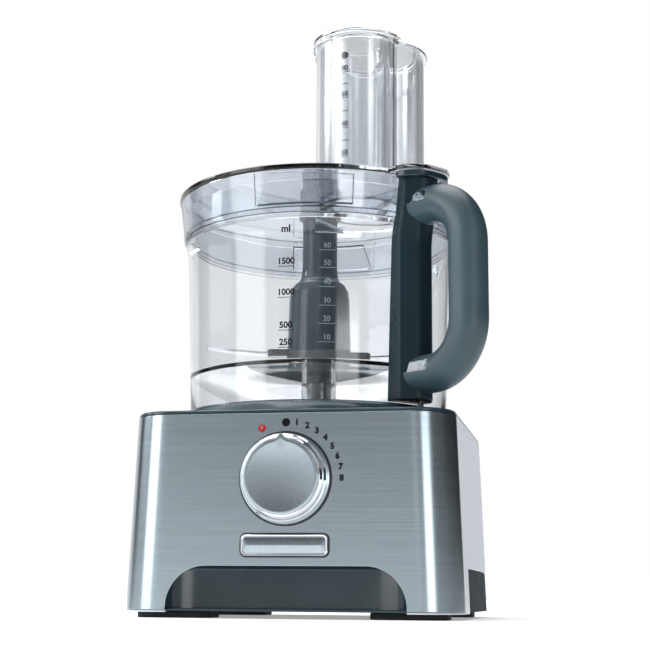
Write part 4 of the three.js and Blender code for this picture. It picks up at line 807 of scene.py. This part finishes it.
# ------------------------------------------------------------------ bowl
def bowl_r(z):
    """The bowl's outside: a slight cone that flares just below the lid."""
    if z <= FLARE_START:
        return BOWL_FOOT_R + (BOWL_TOP_R - BOWL_FOOT_R) * (z - BOWL_FOOT) / (FLARE_START - BOWL_FOOT)
    return BOWL_TOP_R + 3 * (1 - cos(min(1, (z - FLARE_START) / FLARE_RISE) * pi / 2))


def bowl():
    shelf, chimney_r, bore_r = LID_LINE - BOWL_WALL, 11.8, 9.8
    flare = [FLARE_START + FLARE_RISE * k / 6 for k in range(7)]
    profile = [(bowl_r(z), z) for z in [BOWL_FOOT, 145, 165, 185, 205, 222] + flare]
    profile += [(RIM_R, LID_LINE), (RIM_R, LID_LINE + RIM_RISE), (RIM_R - BOWL_WALL, LID_LINE + RIM_RISE),
                (RIM_R - BOWL_WALL, shelf)]
    profile += [(bowl_r(z) - BOWL_WALL, z) for z in [shelf] + flare[5::-1] + [222, 205, 185, BOWL_FLOOR_TOP]]
    profile += [(chimney_r, BOWL_FLOOR_TOP), (chimney_r, BOWL_FLOOR_TOP + 6), (bore_r, BOWL_FLOOR_TOP + 6),
                (bore_r, BOWL_FLOOR - 14), (chimney_r, BOWL_FLOOR - 14), (chimney_r, BOWL_FLOOR),
                (bowl_r(BOWL_FLOOR) - BOWL_WALL, BOWL_FLOOR), (BOWL_FOOT_R - BOWL_WALL, BOWL_FOOT)]

    def corner(r, z):
        """How much the profile is rounded at one of its points."""
        if z == shelf:
            return 0.3
        if abs(z - BOWL_FLOOR_TOP) < 0.1 and r > 50:
            return 0.8
        return 0.6 if abs(z - BOWL_FOOT) < 1 or r < 12 or z > LID_LINE - 1 else 0

    shell = fillet(profile, [corner(r, z) for r, z in profile], 5, True)
    make_clear("bowl_shell", lathe(shell, 192), "bowl", bowl_clear, sharp=60, replaces="bowl")


def lugs():
    """Four ramps that the lid turns under."""
    outer_r, low_z, clearance, span = 92.2, LID_LINE - 13, 0.05, 11
    ramps = []
    for centre in (-145, -75, 35, 105):
        rings = []
        for k in range(9):
            a, top = radians(centre + span * (k / 8 - 0.5)), LID_LINE - 4 - 7 * k / 8
            section = [(bowl_r(low_z) + clearance, low_z), (outer_r - 0.6, low_z + 0.3), (outer_r, low_z + 1),
                       (outer_r, top - 0.7), (outer_r - 0.5, top),
                       (max(bowl_r(top), bowl_r(low_z)) + clearance, top)]
            rings.append([(r * cos(a), r * sin(a), z) for r, z in section])
        ramps.append(loft(rings))
    # the ramps take a darker clear than the bowl: painted shade
    make_clear("bowl_lugs", merge(*ramps), "bowl", lug_painted_shade_clear)


bowl()
lugs()


# ------------------------------------------------------------------ lid and feed tube
def twin(grow_a, grow_b, z_a, z_b, steps_a=72, steps_b=110):
    """One ring round both feed circles, each grown by its own distance and at its own height."""
    (ax, ay), ra = TUBE_A, TUBE_A_R + grow_a
    (bx, by), rb = TUBE_B, TUBE_B_R + grow_b
    d = hypot(bx - ax, by - ay)
    along = (ra * ra - rb * rb + d * d) / (2 * d)
    half = sqrt(ra * ra - along * along)
    ux, uy = (bx - ax) / d, (by - ay) / d
    middle = Vector((ax + along * ux, ay + along * uy))
    right, left = (middle + side * half * Vector((uy, -ux)) for side in (1, -1))

    def bearing(p, cx, cy):
        return degrees(atan2(p.y - cy, p.x - cx)) % 360

    a0, a1 = bearing(left, ax, ay), bearing(right, ax, ay)
    b0, b1 = bearing(right, bx, by) - 360, bearing(left, bx, by)
    return layer(arc(ax, ay, ra, a0, a1, steps_a), z_a) + layer(arc(bx, by, rb, b0, b1, steps_b), z_b)


def level(grow, z):
    return twin(grow, grow, z, z)


def skirt_r(z):
    return SKIRT_R + 3.4 * (z - LID_LINE) / (LID_UNDER - LID_LINE)


def skirt_patch(corners, proud, middle, slope, steps):
    """A raised patch on the lid's skirt. corners are (degrees, height): low then high at each end."""
    (a0, l0), (a1, h0), (b0, l1), (b1, h1) = corners
    spread, sunk, root = degrees(slope / skirt_r(LID_LINE)), -0.1, -0.7
    stations = [(0, -spread, sunk)] + [(k / steps, 0, proud) for k in range(steps + 1)] + [(1, spread, sunk)]
    rings = []
    for t, out, up in stations:
        low_a, high_a = (radians(middle + out + a + (b - a) * t) for a, b in ((a0, b0), (a1, b1)))
        low_z, high_z = l0 + (l1 - l0) * t, h0 + (h1 - h0) * t
        section = ((low_a, low_z - slope, root), (low_a, low_z - slope, sunk), (low_a, low_z, up),
                   (high_a, high_z, up), (high_a, high_z + slope, sunk), (high_a, high_z + slope, root))
        rings.append([((skirt_r(z) + r) * cos(a), (skirt_r(z) + r) * sin(a), z) for a, z, r in section])
    return loft(rings)


def darken_edges(piece):
    """Paints the lid's downward ledges and the slopes round its patches in a dark clear, as painted shade for
    the dark look of a thick clear edge; the patches' outward faces go back to the lid's own clear.
    """
    edge = piece.data.materials.find(painted_shade_clear.name)
    back = TO_ROW.inverted()
    for face in piece.data.polygons:
        spot = back @ face.center
        reach = hypot(spot.x, spot.y)
        outward = (face.normal.x * spot.x + face.normal.y * spot.y) / max(reach, 1)
        if face.material_index == edge:
            if outward > 0.95:
                face.material_index = 0
        elif reach > 90.5 and (spot.z < LID_LINE + 1 and face.normal.z < -0.3
                               or LID_LINE + 2.9 < spot.z < LID_LINE + 4.2 and outward > 0.3):
            face.material_index = edge


def ear_outline(margin):
    half, reach, r, root = 21 - margin, 118 - margin, 17, 88
    return ([(root, -half)] + arc(reach - r, r - half, r, -90, 0, 20)
            + arc(reach - r, half - r, r, 0, 90, 20) + [(root, half)])


def lid():
    profile = fillet([
        (0, LID_UNDER), (94.9, LID_UNDER), (91.8, LID_LINE + 0.3), (SKIRT_R, LID_LINE + 0.3),
        (94.1, LID_LINE + 3.2), (93.9, LID_LINE + 4.0), (96.8, LID_UNDER - 0.4), (97.5, LID_UNDER + 0.2),
        (97.5, LID_TOP), (0, LID_TOP),
    ], [0, 1.0, 0.4, 0.4, 0.4, 0.4, 0.4, 0.5, 0.9, 0], 4)
    ear = moved(slab(ear_outline(0), LID_UNDER, LID_TOP, 0.8, 4), HANDLE)
    low_z = LID_LINE + 6
    word = (-15.3, low_z), (-10.5, LID_UNDER - 3.2), (21.5, low_z), (21.5, LID_UNDER - 4.2)
    line = (-16.9, low_z), (-16.9, LID_UNDER - 2), (-16.6, low_z), (-16.6, LID_UNDER - 2)
    tube = loft([level(0, LID_UNDER + 1), level(0, TUBE_TOP - 4.3), twin(0, 0, TUBE_TOP - 4, TUBE_TOP - 2),
                 twin(2.0, 2.0, TUBE_TOP - 4, TUBE_TOP - 2), twin(2.3, 2.3, TUBE_TOP - 3.7, TUBE_TOP - 1.7),
                 level(2.3, TUBE_TOP - 0.5), level(1.8, TUBE_TOP)])
    passage = loft([level(-2.5, LID_UNDER - 3), level(-2.5, TUBE_TOP - 0.5), level(-2.0, TUBE_TOP + 0.4)])
    hub = lathe([(0, LID_UNDER - 3.5), (6, LID_UNDER - 3.5), (6, LID_UNDER + 1), (0, LID_UNDER + 1)], 64)
    bore = lathe([(0, LID_UNDER - 5), (3.4, LID_UNDER - 5), (3.4, LID_UNDER + 0.4), (0, LID_UNDER + 0.4)], 48)

    piece = make_clear("lid_body", lathe(profile, 220), "lid", lid_clear, sharp=30)
    combine(piece, ear)
    # the patches come in the dark clear, painted shade on their slopes; their outward faces go back to the
    # lid's clear further down
    for corners, proud, slope, steps in ((word, 1.2, 0.9, 24), (line, 0.4, 0.3, 2)):
        for middle in (-88, 92):
            combine(piece, skirt_patch(corners, proud, middle, slope, steps), paint=painted_shade_clear)
    combine(piece, tube, paint=tube_clear)
    cut(piece, passage, tube_clear)
    combine(piece, hub)
    cut(piece, bore)
    darken_edges(piece)
    sharpen(piece, 30)
    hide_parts("lid")


def ear_skirt():
    """The dark skirt that hangs below the ear, round the top of the handle's column."""
    top_z, low_z = LID_UNDER - 0.6, LID_TOP - 7.5
    section = ((1.2, top_z), (0.8, top_z - 0.4), (0.8, low_z + 0.6), (1.2, low_z), (3.4, low_z), (3.4, top_z),
               (1.2, top_z))
    rings = [layer(ear_outline(margin)[2:-2], z) for margin, z in section]
    verts, faces = loft(rings, caps=False, around=False)
    count = len(rings[0])
    for end in (0, count - 1):
        cap = [i * count + end for i in range(len(rings) - 1)]
        faces.append(tuple(cap if end else reversed(cap)))
    make("lid_ear_skirt", (verts, faces), "lid", dark_gloss, HANDLE, even=True)


lid()
ear_skirt()


# ------------------------------------------------------------------ pushers
def feed_pusher():
    seat = TUBE_TOP + 0.3
    body = loft([level(-3.9, PUSHER_LOW), level(-3.1, PUSHER_LOW + 0.8), level(-3.1, seat),
                 twin(2.0, -1.5, seat, seat), twin(2.3, -1.25, seat + 0.3, seat + 0.3),
                 twin(2.3, -1.25, PUSHER_TOP - 0.6, seat + 0.9), twin(1.7, -1.8, PUSHER_TOP, seat + 1.2)])
    piece = make_clear("feed_pusher_body", body, "pusher", pusher_clear, sharp=30)
    cut(piece, loft([level(-6.1, PUSHER_LOW + 2), level(-5.1, PUSHER_LOW + 3), level(-5.1, PUSHER_TOP + 2)]))
    combine(piece, rod(23, PUSHER_LOW + 1, seat, 120, TUBE_A))
    cut(piece, rod(21, PUSHER_LOW - 5, PUSHER_TOP + 5, 120, TUBE_A))
    sharpen(piece, 30)
    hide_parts("feed_pusher")


def small_pusher():
    r, rim_r, seat, top = SMALL_PUSHER_R, 22.7, TUBE_TOP + 0.3, PUSHER_TOP - 0.2
    cup = lathe(fillet([
        (0, PUSHER_LOW), (r, PUSHER_LOW), (r, seat), (rim_r, seat), (rim_r, top),
        (r - 2, top), (r - 2.2, PUSHER_LOW + 2), (0, PUSHER_LOW + 2),
    ], [0, 2.5, 0.3, 0.4, 0.7, 0.7, 2.0, 0], 5), 144)
    make_clear("small_pusher_cup", cup, "small_pusher", pusher_clear,
               place=Matrix.Translation((*TUBE_A, 0)), sharp=50, replaces="small_pusher")


feed_pusher()
small_pusher()


# ------------------------------------------------------------------ handle
def column():
    """The upright against the bowl and the lid's skirt, with the interlock rod's bore."""
    bottom, top, levels = COLLAR_TOP + 0.7, LID_UNDER - 0.6, 40
    rings = []
    for z in (bottom + (top - bottom) * k / levels for k in range(levels + 1)):
        if z < LID_LINE:
            flare, clear_r = max(0, bowl_r(z) - BOWL_TOP_R), bowl_r(z) + 0.35
        else:
            flare, clear_r = skirt_r(z) - SKIRT_R + 3, skirt_r(z) + 0.7
        side = [(COLUMN_EDGE + flare + dx, y) for dx, y in (
            (-1.5, -COLUMN_HALF), (0, -13.1), (1, -11.8), (4.6, -9.2), (7.4, -5.8), (8.7, -2.4))]
        outer = side + [(COLUMN_EDGE + flare + 9, 0)] + [(x, -y) for x, y in reversed(side)]
        inner = [(sqrt(clear_r ** 2 - y * y), y)
                 for y in (COLUMN_HALF, 11, 7.5, 3.8, 0, -3.8, -7.5, -11, -COLUMN_HALF)]
        rings.append(layer(outer + inner, z))
    # the column takes the darker copy of the grip's moulding: painted shade
    piece = make("handle_column", loft(rings), "bowl", column_painted_shade, HANDLE)
    soften(piece, 1.2, 4, 40, harden=False)
    rod_r, room_r, room_low, room_high = 2.3, 3.9, 142, 171  # the spring and the collar sit in the room
    bore = lathe([(0, bottom - 2), (rod_r, bottom - 2), (rod_r, room_low), (room_r, room_low),
                  (room_r, room_high), (rod_r, room_high), (rod_r, top + 2), (0, top + 2)], 32)
    cut(piece, moved(shifted(bore, ROD_REACH, 0), HANDLE))
    sharpen(piece, 40, even=False)


def grip():
    """The loop, a round bar with a shallow flat beside the column on each arm."""
    low_bend, high_bend = [], []
    for a in quarter(18):
        low_bend.append((GRIP_REACH - LOW_BEND_R * (1 - sin(a)), GRIP_LOW + LOW_BEND_R * (1 - cos(a))))
        high_bend.append((GRIP_REACH - HIGH_BEND_R * (1 - cos(a)), GRIP_HIGH - HIGH_BEND_R * (1 - sin(a))))
    start, rise = low_bend[-1][1], high_bend[0][1] - low_bend[-1][1]
    straight = [(GRIP_REACH, start + rise * k / 8) for k in range(1, 8)]
    path = [(97, GRIP_LOW), (106, GRIP_LOW)] + low_bend + straight + high_bend
    path += [(106, GRIP_HIGH), (97, GRIP_HIGH)]
    tube = []
    for i, (x, z) in enumerate(path):
        (px, pz), (nx, nz) = path[max(0, i - 1)], path[min(len(path) - 1, i + 1)]
        along = Vector((nx - px, nz - pz)).normalized()
        tube.append([(x + u * along.y, v, z - u * along.x) for u, v in circle(GRIP_R, 96)])
    piece = make("handle_grip", loft(tube), "bowl", dark_satin, HANDLE)
    flat = [(-20, 0.6), (-11.1, 0.6), (-9.6, 9.1), (-9.6, 14), (-20, 14)]
    for z in (GRIP_LOW, GRIP_HIGH):
        wedge = loft([[(x, y, z + up) for y, up in flat] for x in (96, 119)])
        cut(piece, moved(wedge, HANDLE), flat_gloss)
    sharpen(piece, 25, even=False)
    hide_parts("bowl_handle")


column()
grip()


# ------------------------------------------------------------------ knife and drive
def knife_hub():
    shoulder = KNIFE_TOP - 56.5
    profile = fillet([
        (HUB_BORE_R, HUB_LOW), (21, HUB_LOW), (21.9, HUB_LOW + 3), (20.7, shoulder - 4.6),
        (20.2, shoulder - 4.2), (20.2, shoulder - 0.5), (17.6, shoulder + 4.5), (13.2, shoulder + 8),
        (12, shoulder + 17), (12, KNIFE_TOP - 7), (14.7, KNIFE_TOP - 4.5), (14.7, KNIFE_TOP - 0.8),
        (13.9, KNIFE_TOP), (3, KNIFE_TOP), (3, KNIFE_TOP + 3.1), (0, KNIFE_TOP + 3.1),
    ], [0, 0.6, 1, 0.3, 0.2, 2.2, 5, 7, 6, 2, 0.6, 0.4, 0.3, 0.4, 0.5, 0], 6)
    bore_end = [(0, KNIFE_TOP - 25), (HUB_BORE_R, KNIFE_TOP - 25)]
    hub = make("knife_hub_body", lathe(bore_end + profile, 120), "knife", dark_gloss, sharp=40)
    for _, rise, turn in BLADES:
        z = HUB_LOW + rise
        combine(hub, moved(slab(rounded_box(0, 35, -9, 9, 4, 8), z - 2.5, z + 2.5, 1.0, 4), turned(turn)))
    sharpen(hub, 40)
    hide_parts("knife_hub")


def knife_blade(node, rise, turn):
    """A curved blade: straight out of the hub, then swept back to its tip, ground on the leading edge."""
    half, thick, root, bend, tip, climb = 7.0, 0.8, 24, 39, 76, 3
    edges = [((x, -half), (x, half)) for x in (root + (bend - root) * k / 10 for k in range(10))]
    for s in (k / 30 for k in range(30)):
        edges.append(((curve(s, bend, 67, tip), curve(s, -half, -half - 1, half + 6)),
                      (curve(s, bend, 57, tip), curve(s, half, half + 1, half + 6))))
    rings = []
    for (lx, ly), (tx, ty) in edges:
        width = Vector((tx - lx, ty - ly))
        step = width.normalized() * min(3.5, 0.45 * width.length)
        section = ((lx, ly, 0.08), (lx + step.x, ly + step.y, thick), (tx, ty, thick),
                   (tx, ty, -thick), (lx + 0.1 * step.x, ly + 0.1 * step.y, -thick), (lx, ly, -0.3))
        rings.append([(x, y, HUB_LOW + rise + up + climb * max(0, x - bend) / 38) for x, y, up in section])
    make(node + "_ground", loft(rings), "knife", blade_steel, turned(turn), sharp=20, replaces=node)


def drive():
    """The coupling under the bowl, and the steel shaft with its hexagonal end."""
    step = COUPLING_LOW + 16.1
    make("coupling_body", lathe(fillet([
        (HUB_BORE_R, COUPLING_LOW), (8.5, COUPLING_LOW), (8.5, COUPLING_TOP - 2), (6.6, COUPLING_TOP),
        (5.2, COUPLING_TOP), (5.2, step), (HUB_BORE_R, step),
    ], [0.3, 0.4, 0.8, 0.5, 0.3, 0, 0], 4, True), 96), "spindle", black, sharp=40, replaces="shaft_coupling")
    spigot = lathe([(0, 147), (4, 147), (4, SHAFT_LOW - 0.1), (0, SHAFT_LOW - 0.1)], 64)
    shank = lathe(fillet([(0, SHAFT_LOW), (SHAFT_R, SHAFT_LOW), (SHAFT_R, SHAFT_HEX), (0, SHAFT_HEX)],
                         [0, 0.4, 0.4, 0], 3), 72)
    hexagon = slab(circle(SHAFT_R, 6), SHAFT_HEX, SHAFT_TOP)
    make("drive_shaft_body", merge(spigot, shank, hexagon), "spindle", bright_steel, sharp=35, even=True,
         replaces="drive_shaft")


knife_hub()
for blade in BLADES:
    knife_blade(*blade)
drive()


# ------------------------------------------------------------------ printed marks
INK, LIFT = 0.03, 0.08  # half the thickness of a mark, and its height over a curved wall


def words(text, size, weight=0.03):
    """The outline of a short text as a flat mesh, centred, in millimetres."""
    line = bpy.data.curves.new("words", "FONT")
    line.body = text
    line.size = size
    line.align_x = line.align_y = "CENTER"
    line.resolution_u = 4
    line.offset = weight * size
    line.extrude = INK
    thing = bpy.data.objects.new("words", line)
    bpy.context.scene.collection.objects.link(thing)
    bpy.context.view_layer.update()
    mesh = bpy.data.meshes.new_from_object(thing.evaluated_get(bpy.context.evaluated_depsgraph_get()))
    part = [tuple(v.co) for v in mesh.vertices], [tuple(p.vertices) for p in mesh.polygons]
    bpy.data.objects.remove(thing)
    return part


def bar(half, thick, steps=6):
    """A flat line across, cut into short lengths so that it can be bent."""
    xs = [half * (2 * k / steps - 1) for k in range(steps + 1)]
    return loft([[(x, -thick, -INK), (x, thick, -INK), (x, thick, INK), (x, -thick, INK)] for x in xs])


def dot(r):
    return rod(r, -INK, INK, 36)


def wrapped(part, angle, radius_at, z, centre=(0, 0)):
    """Bends a flat part round a vertical axis, its face outwards."""
    out = []
    for x, y, t in part[0]:
        r = radius_at(z + y) + LIFT + t
        a = radians(angle) + x / radius_at(z)
        out.append((centre[0] + r * cos(a), centre[1] + r * sin(a), z + y))
    return out, part[1]


def small_pusher_r(_):
    return SMALL_PUSHER_R


def scale(name, numbers, lettering, line, drop, ink, body, place, extra=()):
    """Numbers up a wall, each with a line below it. place is the wall's angle, radius and axis."""
    angle, radius_at, centre = place
    marks = [wrapped(part, angle, radius_at, z, centre) for part, z in extra]
    for text, z in numbers.items():
        marks.append(wrapped(words(text, *lettering), angle, radius_at, z, centre))
        marks.append(wrapped(bar(*line), angle, radius_at, z - drop, centre))
    make(name, merge(*marks), body, ink)


def on_dial(name, part, angle, reach, ink, lift=0.06):
    """A mark on the steel, at an angle clockwise from the top of the dial."""
    a = radians(90 - angle)
    make(name, shifted(part, reach * cos(a), reach * sin(a), lift), "base", ink, DIAL_FACE)


def marks():
    scale("bowl_scale", {"1500": 220.3, "1000": 200.5, "500": 179.6, "250": 168.8}, (5.6,), (5, 0.2), 3.2,
          ink_black, "bowl", (-92.4, bowl_r, (0, 0)), [(words("ml", 6.2), 241)])
    scale("bowl_scale_pale", {"60": 230.2, "50": 218.9, "40": 206.8, "30": 194.9, "20": 183.4, "10": 171.8},
          (4.8, 0.0), (5.2, 0.16), 3.0, ink_pale, "bowl", (-75.6, bowl_r, (0, 0)))
    between = [(bar(2.6, 0.35), z) for z in (367, 346.9, 325.4)]
    scale("pusher_scale", {"80": 378.5, "60": 359.3, "40": 337.4, "20": 316.4}, (5.0, 0.05), (2.6, 0.3), 2.7,
          ink_grey, "small_pusher", (-106.5, small_pusher_r, TUBE_A), [(dot(2.7), 388)] + between)

    numbers = []
    for i in range(1, 9):
        a = radians(90 - 11.25 * i)
        numbers.append(shifted(words(str(i), 5.2, 0.05), NUMBER_R * cos(a), NUMBER_R * sin(a)))
    on_dial("dial_numbers", merge(*numbers), 0, 0, ink_black)
    on_dial("dial_off_dot", dot(2.6), 0, MARK_R, ink_black)
    on_dial("dial_pulse_dot", dot(2.35), -26, MARK_R, ink_red)
    on_dial("dial_pulse_letter", words("P", 3.4), -26, MARK_R, ink_pale, 0.13)


marks()


# ------------------------------------------------------------------ studio
# Upright softboxes and black cards: gain, middle, half width and soft edge as bearings from the front
# in degrees, then the lowest and highest z of the direction they are seen in.
SOFTBOXES = (
    (2.8, -51, 12, 5, -0.4, 0.55),
    (0.5, -42, 8, 24, -0.4, 0.3),
    (14.0, -90, 5, 3, 0.37, 0.47),
    (0.14, -18, 7, 12, -0.4, 0.12),
    (0.8, -86, 12, 6, 0.16, 0.34),
    (0.4, 5, 5, 4, 0.1, 0.22),
    (5.6, 36, 8, 4, -0.6, 0.08),
    (2.8, 46, 5, 4, 0.36, 0.75),
    (-0.26, -22, 9, 10, 0.22, 0.6),
    (-0.33, 122, 22, 6, -1.0, 1.0),
    (-0.30, 76, 20, 6, -1.0, 0.28),
    (-0.30, 156, 8, 5, -1.0, 0.28),
    (-0.22, -108, 6, 5, -1.0, 0.28),
    (0.56, -166, 42, 5, -1.0, 0.42),
    (0.56, 192, 20, 5, -1.0, 0.28),
    (-0.3, -166, 50, 8, 0.42, 0.66),
    (-0.3, 194, 50, 8, 0.42, 0.66),
    (0.9, -70, 60, 20, 0.62, 1.0),
    (0.7, -130, 20, 6, 0.72, 1.0),
)
AMBIENT, CLEAR_MINIMUM = 0.34, 0.4


def studio_world():
    world = bpy.data.worlds.new("studio")
    bpy.context.scene.world = world
    world.use_nodes = True
    tree = world.node_tree
    tree.nodes.clear()

    def maths(operation, *values):
        return add_node(tree, "ShaderNodeMath", dict(enumerate(values)), operation=operation).outputs[0]

    def fade(value, start, width):
        """1 up to a distance, then down to 0."""
        return add_node(tree, "ShaderNodeMapRange", {
            "Value": value, "From Min": start, "From Max": start + width, "To Min": 1.0, "To Max": 0.0,
        }, interpolation_type="SMOOTHSTEP").outputs[0]

    where = add_node(tree, "ShaderNodeTexCoord").outputs["Generated"]
    x, y, z = add_node(tree, "ShaderNodeSeparateXYZ", {0: where}).outputs
    bearing = maths("MULTIPLY", maths("ARCTAN2", x, maths("MULTIPLY", y, -1)), 180 / pi)
    total = AMBIENT
    for gain, middle, half, soft, low_z, high_z in SOFTBOXES:
        across = fade(maths("ABSOLUTE", maths("SUBTRACT", bearing, middle)), half, soft)
        middle_z, half_z = (low_z + high_z) / 2, (high_z - low_z) / 2
        upright = fade(maths("ABSOLUTE", maths("SUBTRACT", z, middle_z)), half_z, 0.08)
        total = maths("ADD", total, maths("MULTIPLY", maths("MULTIPLY", across, upright), gain))
    # clear pieces never look out into the dark, and the camera sees a white room
    path = add_node(tree, "ShaderNodeLightPath").outputs
    total = maths("MAXIMUM", total, maths("MULTIPLY", path["Is Transmission Ray"], CLEAR_MINIMUM))
    light = add_node(tree, "ShaderNodeBackground", {"Color": (0.97, 0.985, 1.0, 1), "Strength": total})
    white = add_node(tree, "ShaderNodeBackground", {"Color": (1, 1, 1, 1), "Strength": 1.0})
    seen = add_node(tree, "ShaderNodeMixShader",
                    {"Fac": path["Is Camera Ray"], 1: light.outputs[0], 2: white.outputs[0]})
    add_node(tree, "ShaderNodeOutputWorld", {"Surface": seen.outputs[0]})


def pale_floor():
    """A pale floor that brightens to white away from the machine."""
    paint = Paint("pale_floor", specular_ior_level=0.0, roughness=1.0, emission_color=(1, 1, 1, 1))
    paint.colours(paint.noise(0.8, 2.0), (0.87, 0.875, 0.88), (0.91, 0.91, 0.91))
    away = paint.node("ShaderNodeVectorMath", {0: paint.place}, operation="LENGTH").outputs["Value"]
    paint.feed("Emission Strength", paint.ramp(away, 0.32, 0.8, 0.25, 1.6))
    mesh = bpy.data.meshes.new("floor")
    mesh.from_pydata([(-6, -6, 0), (6, -6, 0), (6, 6, 0), (-6, 6, 0)], [], [(0, 1, 2, 3)])
    mesh.materials.append(paint.material)
    floor = bpy.data.objects.new("floor", mesh)
    bpy.context.scene.collection.objects.link(floor)


def lamps():
    for name, place, aim, size, power in (
        ("key", (-1.25, -0.75, 1.1), (0, 0, 0.2), 0.8, 2.5),
        ("top", (-0.1, 0.3, 1.6), (0, 0, 0), 1.2, 15.0),
    ):
        lamp = bpy.data.lights.new(name, "AREA")
        lamp.size = size
        lamp.energy = power
        thing = bpy.data.objects.new(name, lamp)
        thing.location = place
        thing.rotation_euler = (Vector(aim) - Vector(place)).to_track_quat("-Z", "Y").to_euler()
        bpy.context.scene.collection.objects.link(thing)


def view():
    """Plain colours, and enough bounces for light to get through the nested clear walls."""
    scene = bpy.context.scene
    scene.view_settings.view_transform = "Standard"
    scene.cycles.max_bounces = scene.cycles.transmission_bounces = scene.cycles.transparent_max_bounces = 24
    scene.cycles.glossy_bounces = 6
    scene.cycles.diffuse_bounces = 4


def camera():
    """The photo's camera, fitted to the base, the bowl and the lid, in metres in the part's frame."""
    place, yaw, pitch, roll = (0.17560, -0.91402, 0.01360), 0.1946, 0.1934, 0.0085
    ahead = Vector((-sin(yaw) * cos(pitch), cos(yaw) * cos(pitch), sin(pitch)))
    right = Vector((cos(yaw), sin(yaw), 0))
    up = right.cross(ahead)
    axes = Matrix((cos(roll) * right + sin(roll) * up, cos(roll) * up - sin(roll) * right, -ahead))
    lens = bpy.data.cameras.new("camera")
    lens.lens = 76.69
    lens.sensor_width = 36
    lens.clip_start = 0.01
    thing = bpy.data.objects.new("camera", lens)
    thing.matrix_world = Matrix.Translation(place) @ axes.transposed().to_4x4()
    bpy.context.scene.collection.objects.link(thing)
    bpy.context.scene.camera = thing


studio_world()
view()
pale_floor()
lamps()
camera()
